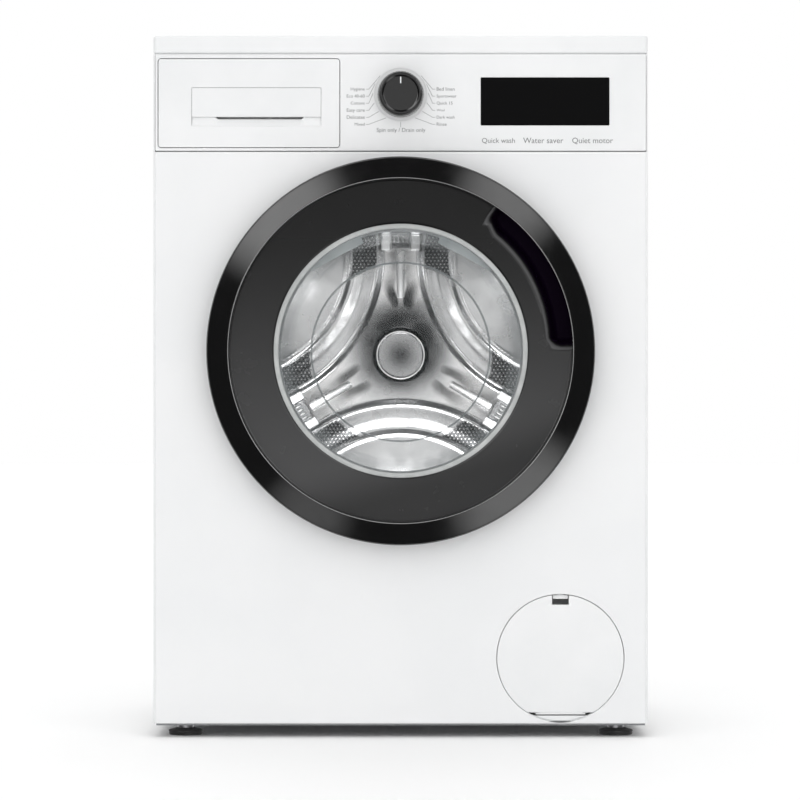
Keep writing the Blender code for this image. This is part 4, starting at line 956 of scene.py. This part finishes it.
def make_cover():
    """Smoked disc with the handle pocket sunk into it under the ring."""
    start, end, per_line = POCKET_START, POCKET_END, 56
    start_point = (0.169, -0.0353)
    face = rounded([(0.1524, -0.0235), (0.1524, -0.0338, 0.0006), (0.1545, -0.0349, 0.001), start_point], 5)
    angles = {a * 2.0 for a in range(180)} | {start + 1.0 * k for k in range(57)}
    angles |= {start - 1.2 + 0.3 * k for k in range(20)} | {end - 3.5 + 0.3 * k for k in range(18)}
    bm = bmesh.new()
    rows = []
    for angle in sorted(angles):
        inside = smoothstep(start - 1.0, start + 4.0, angle) * (1 - smoothstep(end - 3.0, end + 0.8, angle))
        inner = pocket_inner_radius(angle)
        plain = rounded([
            start_point, (inner, -0.0355), (0.201, -0.0358), (0.2044, -0.036), (0.205, -0.0368, 0.0004),
            (0.2059, -0.0368, 0.0003), (0.2059, -0.0325), (0.2045, -0.031),
        ], 4)
        sunk = rounded([
            start_point, (inner, -0.0356, 0.007), (inner + 0.0105, -0.013, 0.006),
            (inner + 0.014, -0.0105, 0.004), (0.2185, -0.0105, 0.005), (0.2185, -0.022, 0.002),
            (0.2184, -0.03),
        ], 4)
        pairs = zip(resampled(plain, per_line), resampled(sunk, per_line))
        line = face[:-1] + [(a[0] + (b[0] - a[0]) * inside, a[1] + (b[1] - a[1]) * inside) for a, b in pairs]
        turn = math.radians(angle)
        rows.append([bm.verts.new(about_door(radius, y, turn)) for radius, y in at_front(line)])
    for one, two in zip(rows, rows[1:] + rows[:1]):
        bridge(bm, one, two, closed=False)
    cover = finish_mesh("cover", bm, SMOKED_PAINTED_SHADE, 50)
    repaint(cover, POCKET, lambda radius, y: radius > 0.17 and y > -0.0353)
    fit(cover, "door", "dark_grey_gloss", "door_cover")


def make_glass():
    """Pressed glass bowl, and the pale seal under its flange."""
    profile = rounded([
        (0.0, 0.0865), (0.104, 0.084, 0.012), (0.12, 0.072, 0.01), (0.1325, 0.048, 0.01),
        (0.1455, -0.018, 0.004), (0.1475, -0.0215, 0.001), (0.1528, -0.0215, 0.001), (0.1528, -0.0165, 0.001),
        (0.15, -0.015, 0.002), (0.1375, 0.05, 0.01), (0.124, 0.0762, 0.01), (0.106, 0.089, 0.012),
        (0.0, 0.0915),
    ], 6)
    fit(turned("bowl", at_front(profile), GLASS, count=144), "door", "glass", "door_glass")
    seal = rounded([
        (0.147, -0.022), (0.147, -0.0316, 0.0006), (0.1495, -0.0324, 0.001), (0.1526, -0.033, 0.0004),
        (0.1526, -0.022),
    ], 4)
    fit(turned("window_seal", at_front(seal), SEAL, closed=True), "door", "rubber_grey")


def make_bowl_flats():
    """Two flats near the top of the bowl's mouth, each a chord of it, in paler, less clear glass that paints
    a reflection on them.
    """
    chord, ends, mouth, half_turn, slices = 0.136, 0.0443, 0.1462, 20.5, 32
    for number, heading in enumerate((62.0, 118.0)):
        sections = []
        for k in range(slices + 1):
            angle = math.radians(heading - half_turn + 2 * half_turn * k / slices)
            radius = chord / math.cos(abs(angle - math.radians(heading)))
            if abs(radius * math.cos(angle)) < ends:
                continue
            radius = min(radius, mouth)
            line = at_front([(mouth + 0.0004, -0.0195), (radius, -0.012), (radius * 0.997, -0.004)])
            sections.append([about_door(r, y, angle) for r, y in line])
        fit(loft(f"bowl_flat_{number}", sections, FLAT_GLASS, closed=False, caps=False), "door", "glass")


def make_inner_frame():
    """Back shell of the door, with stiffening steps and its screws."""
    outer = rounded([
        (0.23, -0.009), (0.2302, -0.003, 0.003), (0.2125, 0.0044, 0.004), (0.198, 0.0044, 0.001),
        (0.197, 0.0032, 0.001), (0.186, 0.0032, 0.001), (0.185, 0.0044, 0.001), (0.1605, 0.0044, 0.003),
        (0.1526, -0.0008, 0.002), (0.1526, -0.016),
    ])
    inner = rounded([
        (0.1545, -0.0157), (0.1545, -0.0012, 0.001), (0.161, 0.0026, 0.001), (0.2115, 0.0026, 0.002),
        (0.2284, -0.004, 0.001), (0.2285, -0.009),
    ])
    shell = turned("back_shell", at_front(outer + inner), GREY_PLASTIC, closed=True)
    carve(shell, [
        prism(HINGE_NOTCH, F - 0.022, F + 0.03),
        block(0.1955, DOOR_Z - 0.037, 0.2115, DOOR_Z - 0.023, F),  # the latch hook's slot
    ])
    head = at_front([(0.0, 0.0049), (0.0012, 0.005), (0.0014, 0.0062), (0.003, 0.0062), (0.0034, 0.0044)])
    pieces = [shell]
    for k in range(8):
        place = polar(0.2055, math.radians(22.5 + 45 * k), (0.0, DOOR_Z))
        pieces.append(turned("screw", head, STEEL, place, count=20))
    fit(merged("back_shell", pieces), "door", "grey_plastic", "door_inner_frame")


def make_gasket():
    """Rubber bellows from the front sheet's lip to the tub, which follow the tub as it bounces."""
    fold = rounded([
        (0.1462, 0.0235), (0.156, 0.013, 0.005), (0.1708, 0.0095, 0.003), (0.1708, 0.0265, 0.003),
        (0.1795, 0.0345, 0.004), (0.164, 0.0425, 0.004), (0.1768, 0.047, 0.003), (0.1768, 0.061),
    ], 6)
    gasket = turned("bellows", at_front(fold), GREY_RUBBER, count=120)
    thicken(gasket, 0.0018)
    bend(gasket, "door_gasket")


# ---- drum
def star(x, z):
    """How far the drum's back lies behind its rim plane. Three swollen lobes, each inside two creases with a
    fine ridge before each and a soft bulge between them, leave a star with a rib along each arm."""
    lobes = (polar(LOBE_DISTANCE, math.radians(angle)) for angle in LOBE_ANGLES)
    nearest = min(math.hypot(x - cx, z - cz) for cx, cz in lobes)
    depth = 0.002 * smoothstep(0.1605, 0.165, nearest) + 0.0034 * smoothstep(0.199, 0.205, nearest)
    for height, ridge in ((0.0012, 0.159), (0.0014, 0.1972)):
        depth -= height * math.exp(-((nearest - ridge) / 0.0022) ** 2)
    bulge_start, bulge_width, lobe_r = 0.166, 0.032, 0.158
    if bulge_start < nearest < bulge_start + bulge_width:
        depth -= 0.0017 * math.sin(math.pi * (nearest - bulge_start) / bulge_width) ** 2
    if nearest < lobe_r:
        depth -= 0.004 * (1 - (nearest / lobe_r) ** 2)
    for angle in LIFTER_ANGLES:
        turn = math.radians(angle)
        along = x * math.cos(turn) + z * math.sin(turn)
        across = abs(z * math.cos(turn) - x * math.sin(turn))
        if along > 0:
            depth -= 0.0014 * smoothstep(0.05, 0.13, along) * math.exp(-((across / 0.0085) ** 2))
    return depth


def make_drum_back():
    """Pressed star with a raised hub cap, on a fine polar mesh."""
    hub = rounded([
        (0.0, -0.0014), (0.0285, -0.0002, 0.02), (0.03, -0.001, 0.0008), (0.032, -0.001, 0.0008),
        (0.0332, 0.006, 0.0015), (HUB_R, 0.008),
    ], 5)
    rim_r, rings_out, count = 0.2365, 110, 288
    turns = [2 * math.pi * k / count for k in range(count)]
    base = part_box("drum_back")[0].y + 0.003
    bm = bmesh.new()
    rings = [[bm.verts.new((0.0, base + hub[0][1], DOOR_Z))] * count]
    rings += [[bm.verts.new(about_door(radius, base + rise, t)) for t in turns] for radius, rise in hub[1:]]
    for k in range(1, rings_out + 1):
        radius = HUB_R + (rim_r - HUB_R) * k / rings_out
        fade = 1 - smoothstep(0.212, 0.236, radius)
        depths = [base + star(*polar(radius, t)) * fade for t in turns]
        rings.append([bm.verts.new(about_door(radius, y, t)) for y, t in zip(depths, turns)])
    for one, two in zip(rings, rings[1:]):
        bridge(bm, one, two)
    fit(finish_mesh("drum_star", bm, drum_back_look(), 60), "drum", "stainless", "drum_back")


def drum_back_look():
    """Drum sheet. Its holes towards the rim are painted light as glints, in painted dark bands that flank the
    star's arms;
    painted dark reflections lie round its hub and beside the arms, painted highlights on the arms and round
    the hub cap's rim, and painted shade on the cap."""
    look = stainless("drum_back_look", (0.74, 0.745, 0.75), 0.21, 0.002, brushed=False)
    x, z = look.door_plane()

    def away(cx, cz):
        return look.length(look.minus(x, cx), look.minus(z, cz))

    radius = away(0.0, 0.0)
    lobes = [away(*polar(LOBE_DISTANCE, math.radians(angle))) for angle in LOBE_ANGLES]
    near = look.maths("MINIMUM", look.maths("MINIMUM", lobes[0], lobes[1]), lobes[2])
    # Painted dark reflection: bands between the lobes' creases towards the rim, where the holes get painted
    # glints
    zone = look.times(look.band(near, 0.163, 0.165, 0.1945, 0.1965), look.span(radius, 0.118, 0.122))

    # The distance across from the nearest arm's middle, which wanders a little
    turn = look.times(look.maths("ARCTAN2", z, x), 3.0)
    fold = look.maths("ARCTAN2", look.maths("COSINE", turn), look.times(look.maths("SINE", turn), -1.0))
    across = look.times(look.maths("ABSOLUTE", fold), radius, 1 / 3)
    across = look.plus(across, look.times(look.minus(look.noise(21.0, 1.0), 0.5), 0.022))

    # Painted dark reflection beside the arms, stronger towards the top
    flanks = look.times(
        look.band(across, 0.002, 0.0075, 0.0125, 0.026), look.span(radius, 0.036, 0.07),
        look.span(radius, 0.078, 0.116, 1.0, 0.0), look.span(z, -0.06, 0.05, 0.75, 1.0),
    )
    # Painted dark reflection round the hub, reaching further up, broken up by noise
    raised = look.minus(radius, look.times(z, 0.22))
    painted_dark_halo = look.maths("MAXIMUM", look.span(raised, 0.036, 0.078, 1.0, 0.0), flanks)
    clouds = look.span(look.noise(34.0, 3.0), 0.36, 0.62, 0.88, 1.0)
    painted_dark_reflection = look.times(painted_dark_halo, clouds, look.span(radius, 0.0325, 0.0335))
    # Painted highlight: the arms near white away from the hub
    arms = look.times(look.span(near, 0.205, 0.208), look.span(radius, 0.06, 0.085))
    look.tint(arms, (0.97, 0.97, 0.97))
    look.tint(painted_dark_reflection, (0.028, 0.028, 0.029))
    # Painted shade on the hub cap, deepest at its middle
    cap = look.times(look.span(radius, 0.03, 0.0308, 1.0, 0.0), look.span(radius, 0.0, 0.03, 0.98, 0.4))
    look.tint(cap, (0.06, 0.06, 0.062))
    # Painted highlight: a bright ring round the hub cap's rim
    look.tint(look.band(radius, 0.03, 0.0308, 0.0318, 0.0326), (0.98, 0.98, 0.98))
    look.tint(zone, (0.11, 0.112, 0.115))
    return perforated(look, look.plus(x, 1.0), look.plus(z, 1.0), 0.005, 0.0011, zone, HOLE_GLINTS)


def make_drum_shell():
    """Drum wall with a rolled front, pressed ribs and pierced holes."""
    skin = [(0.2375, 0.162)]
    for k in range(7):
        y = 0.12 - 0.04 * k
        rib = ((0.2375, 0.01), (0.2368, 0.005), (0.2364, 0.0), (0.2368, -0.005), (0.2375, -0.01))
        skin += [(radius, y + dy) for radius, dy in rib]
    skin += [(0.2375, -0.17, 0.006), (0.23, -0.1805, 0.004), (0.173, -0.1835, 0.006), (0.1625, -0.17)]
    shell = turned("drum_wall", rounded(skin, 6), DRUM_WALL, count=180)
    thicken(shell, 0.0008)
    fit(shell, "drum", "stainless", "drum_shell")


def make_lifters():
    """Three pressed paddles in sheet painted near white as the highlights on their shoulders, with painted
    shade in the channel between them, painted glints at its holes and a bevelled foot.
    """
    # Painted highlight: a far lighter copy of the drum's sheet
    look = stainless("lifter_look", (0.93, 0.935, 0.94), 0.24, 0.0002, brushed=False)
    # Painted shade in the channel between the shoulders
    channel = look.span(look.maths("ABSOLUTE", look.axis("X")), 0.0115, 0.0125, 1.0, 0.0)
    look.tint(channel, (0.22, 0.222, 0.225))
    along = look.plus(look.axis("Y"), 0.5)
    paint = perforated(look, look.plus(look.axis("X"), 1.0), along, 0.0056, 0.0011, channel, HOLE_GLINTS)
    crest_line = rounded([
        (-0.165, 0.218), (-0.1635, 0.202, 0.004), (-0.15, 0.19, 0.01), (0.1353, 0.157, 0.002),
        (0.141, 0.1366, 0.001), (0.1525, 0.144, 0.003), (0.1528, 0.21),
    ], 6)
    half, root = 0.0258, 0.2335
    sections = []
    for y, crest in crest_line:
        side = [
            (half, root), (half - 0.0004, crest + 0.0012, 0.001), (0.0245, crest, 0.001),
            (0.014, crest, 0.001), (0.0125, crest + 0.0022, 0.001),
        ]
        top = rounded([(-x, *rest) for x, *rest in side] + side[::-1], 3)
        sections.append([(x, y, z) for x, z in top])
    for number, angle in enumerate(LIFTER_ANGLES, 1):
        paddle = loft(f"paddle_{number}", sections, paint, closed=False, caps=False, sharp=50)
        stand(paddle, angle)
        fit(paddle, "drum", "stainless", f"lifter_{number}")


def make_struts():
    """Ridge that rises along each arm of the star towards the foot of its lifter, in sheet painted near white
    as a highlight.
    """
    # Painted highlight: a far lighter copy of the drum's sheet
    look = stainless("strut_look", (0.93, 0.935, 0.94), 0.26, 0.0001, brushed=False).material
    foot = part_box("drum_back")[0].y + 0.0088
    start, end, slope, steps, per_half = 0.072, 0.1362, 0.268, 14, 6
    sections = []
    for k in range(steps + 1):
        radius = start + (end - start) * k / steps
        half, top = 0.0048 + 0.0014 * k / steps, foot - slope * (radius - start)
        places = (j / per_half for j in range(-per_half, per_half + 1))
        crown = [(half * u, top + 0.0006 * u * u, radius) for u in places]
        sections.append([(-half, foot + 0.001, radius), *crown, (half, foot + 0.001, radius)])
    for number, angle in enumerate(LIFTER_ANGLES, 1):
        strut = loft(f"strut_{number}", sections, look, closed=False, caps=False, sharp=60)
        stand(strut, angle)
        fit(strut, "drum", "stainless")


# ---- flap, filter and hoses
def make_flap():
    """Service flap with a softly rolled edge, its finger notch and the straight foot over its hinge rod."""
    low_z = FLAP_LOW.z + 0.0025
    notch_half, notch_low, steps = 0.0101, FLAP_HIGH.z - 0.012, 60

    def outline(inset):
        radius = FLAP_R - inset
        foot = math.asin((low_z + inset - FLAP_Z) / radius)
        side = math.acos((notch_half + inset) / radius)
        turns = (side + (foot - side) * k / steps for k in range(steps + 1))
        points = [polar(radius, turn, (FLAP_X, FLAP_Z)) for turn in turns]
        left = [(2 * FLAP_X - x, z) for x, z in points[::-1]]
        notch = [(FLAP_X + x, notch_low - inset) for x in (-notch_half - inset, notch_half + inset)]
        return points + left + notch

    edge = [(outline(inset), F + y) for inset, y in roll(0.0004, 0.0022, 2)]
    flap = pressed_face("flap", [edge], WHITE_PLASTIC)
    hinge_y, hinge_z = F + 0.0011, FLAP_LOW.z + 0.001
    rod = tube("rod", [(FLAP_X + x, hinge_y, hinge_z) for x in (-0.03, 0.03)], 0.001, WHITE_PLASTIC)
    web_low, web_high = (FLAP_X - 0.026, hinge_z), (FLAP_X + 0.026, low_z + 0.001)
    web_edge = plate(web_low, web_high, 0.0005, ((0.0, 0.0005), (0.0, 0.0017)))
    web = pressed_face("web", [web_edge], WHITE_PLASTIC)
    fit(merged("service_flap", [flap, rod, web]), "flap", "white_plastic", "pump_flap")


def make_springs():
    """Coil springs that the tub hangs from, drawn in to the hooks' line at both ends."""
    turns, per_turn, coil_r = 16, 24, 0.0082
    for side in ("left", "right"):
        node = "suspension_spring_" + side
        low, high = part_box(node)
        x, y = middle(node, "y")
        bottom, top = low.z + 0.003, high.z - 0.003
        path = []
        for k in range(turns * per_turn + 1):
            t = k / (turns * per_turn)
            coil = coil_r * min(1.0, 0.15 + 8 * min(t, 1 - t))
            path.append((*polar(coil, 2 * math.pi * k / per_turn, (x, y)), bottom + (top - bottom) * t))
        spring = tube("hanger_spring_" + side, path, 0.0013, STEEL, 10)
        bend(spring, node)


def make_hoses():
    """Bellows hoses that give as the tub bounces."""
    low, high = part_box("fill_hose")
    centre = middle("fill_hose", "y")
    profile = [(0.0, low.z), (0.0165, low.z)]
    for k in range(5):
        z = low.z + 0.0045 + 0.0046 * k
        profile += [(0.0158, z - 0.0012), (0.0187, z + 0.0008), (0.0187, z + 0.0018)]
    profile += [(0.0165, high.z - 0.0005), (0.0165, high.z), (0.0, high.z)]
    fill = turned("fill_bellows", profile, BLACK_RUBBER, centre, "Z", 48)
    bend(fill, "fill_hose")
    route = [
        (0.05, 0.06, 0.1885), (0.05, 0.06, 0.174), (0.0515, 0.052, 0.16), (0.06, 0.03, 0.15),
        (0.075, -0.005, 0.15), (0.1, -0.05, 0.16), (0.13, -0.095, 0.174), (0.16, -0.13, 0.184),
        (0.178, -0.148, 0.182), (0.189, -0.159, 0.174), (0.193, -0.163, 0.163), (0.193, -0.163, 0.1512),
    ]
    path = smooth_path(route, 12)
    radii = [0.0138 + 0.001 * math.cos(2 * math.pi * k / 4) for k in range(len(path))]
    radii[:8] = radii[-8:] = [0.0145] * 8
    sump = tube("sump_bellows", path, radii, BLACK_RUBBER, 24)
    bend(sump, "sump_hose")


# ---- CAD parts shown as they are
KEPT = (
    (GREY_PLASTIC, "base_tray", "drawer_tray", "dispenser_housing", "tub_rear", "tub_front",
     "damper_tube_left", "damper_tube_right", "drain_hose", "pump_housing", "control_module"),
    (WHITE_PLASTIC, "inlet_valve", "filter_recess", "pump_impeller"),
    (DARK_PLASTIC, "siphon_cap", "filter_cap", "door_lock"),
    (ZINC, "hinge_bracket", "hinge_leaf", "suspension_rail"),
    (ALUMINIUM, "drum_spider", "drum_pulley"),
    (STEEL, "latch_hook", "motor_shaft", "heater", "front_bearing", "rear_bearing", "damper_rod_left",
     "damper_rod_right"),
    (MOTOR, "motor_housing"),
    (BLACK_RUBBER, "drive_belt", "mains_gland"),
    (CONCRETE, "counterweight_top", "counterweight_front"),
)


def paint_kept_parts():
    for look, *names in KEPT:
        for name in names:
            for slot in nodes[name].material_slots:
                slot.material = look


# ---- studio
def make_floor():
    bm = bmesh.new()
    bmesh.ops.create_grid(bm, x_segments=1, y_segments=1, size=20.0)
    look = Look("floor_look", (1.0, 1.0, 1.0), 0.6)
    look.clouds(1.5, (0.99, 0.99, 0.99), low=0.3)
    floor = finish_mesh("floor", bm, look.material, normals=False)
    floor.visible_glossy = False


def make_sky():
    """Plain soft studio light. Matt surfaces see a tent that is dimmer at both sides, and shiny ones see its
    darker cloth with a pale front, a bright top and soft boxes round the front."""
    world = bpy.data.worlds.new("studio")
    bpy.context.scene.world = world
    world.use_nodes = True
    world.cycles.sampling_method = "NONE"
    tree = world.node_tree
    place = shader_node(tree, "TexCoord", {}, "Generated")

    def toward(direction, wide, narrow, radiance):
        """Light from round a direction, full within the narrow angle and none outside the wide one."""
        aim = Vector(direction).normalized()
        sockets = {
            "Value": shader_node(tree, "VectorMath", {0: place, 1: aim}, "Value", operation="DOT_PRODUCT"),
            "From Min": math.cos(math.radians(wide)),
            "From Max": math.cos(math.radians(narrow)),
            "To Max": radiance,
        }
        return shader_node(tree, "MapRange", sockets, "Result", interpolation_type="SMOOTHSTEP")

    def corner(azimuth, off_axis):
        x, z = polar(math.sin(math.radians(off_axis)), math.radians(azimuth))
        return (x, -math.cos(math.radians(off_axis)), z)

    def added(base, *lobes):
        for lobe in lobes:
            base = shader_node(tree, "Math", {0: base, 1: toward(*lobe)}, operation="ADD")
        return base

    def chosen(factor, one, two):
        return shader_node(tree, "Mix", {"Factor": factor, "A": one, "B": two}, "Result")

    tent = added(
        TENT,
        ((0.0, -0.5, 0.85), 110, 10, 0.31),
        ((-1.0, 0.15, 0.1), 75, 15, -0.34),
        ((1.0, 0.15, 0.1), 75, 15, -0.34),
    )
    shine = added(
        CLOTH,
        ((0.0, 0.3, 0.95), 45, 20, 1.2),
        ((0.0, 1.0, 0.25), 88, 30, 0.9),
        ((0.0, -1.0, 0.0), 32, 14, 0.8),
        (corner(131, 58), 22, 3, 3.4),
        (corner(55, 58), 17, 3, 2.6),
        (corner(30, 30), 13, 4, 7.0),
        (corner(150, 30), 13, 4, 7.0),
        (corner(240, 58), 14, 3, 1.15),
        (corner(309, 58), 22, 5, 2.3),
    )
    ray = tree.nodes.new("ShaderNodeLightPath").outputs
    background = tree.nodes["Background"].inputs
    lit = chosen(ray["Is Glossy Ray"], tent, shine)
    tree.links.new(chosen(ray["Is Camera Ray"], lit, 1.0), background["Strength"])
    background["Color"].default_value = (1.0, 1.0, 1.0, 1.0)


def make_drum_lamps():
    """Small soft lamps behind the drum's front lip, out of sight, that light its back and walls."""
    for angle, watts in ((270, 0.22), (30, 0.03), (150, 0.04)):
        turn = math.radians(angle)
        data = bpy.data.lights.new(f"drum_lamp_{angle}", "AREA")
        data.shape = "RECTANGLE"
        data.size, data.size_y = 0.12, 0.03
        data.energy = watts
        lamp = linked(data.name, data)
        place = Vector(about_door(0.19, F + 0.103, turn))
        aim = Vector(about_door(0.02, 0.15, turn))
        facing = (aim - place).to_track_quat("-Z", "Y").to_matrix().to_4x4()
        lamp.matrix_world = Matrix.Translation(place) @ facing
        lamp.visible_camera = False


def make_camera():
    data = bpy.data.cameras.new("camera")
    data.sensor_width = 36.0
    data.lens = LENS
    camera = linked("camera", data)
    camera.location = (CAMERA_X, F - CAMERA_AWAY, CAMERA_Z)
    camera.rotation_euler = (math.pi / 2, 0.0, 0.0)
    bpy.context.scene.camera = camera


def main():
    make_case()
    make_front_panel()
    make_worktop()
    make_rear_cover()
    make_feet()
    make_fascia()
    make_display()
    make_knob()
    make_print()
    make_drawer_front()
    make_ring()
    make_cover()
    make_glass()
    make_bowl_flats()
    make_inner_frame()
    make_gasket()
    make_drum_back()
    make_drum_shell()
    make_lifters()
    make_struts()
    make_flap()
    make_springs()
    make_hoses()
    paint_kept_parts()
    make_floor()
    make_sky()
    make_drum_lamps()
    make_camera()
    bpy.context.scene.view_settings.view_transform = "Standard"


main()
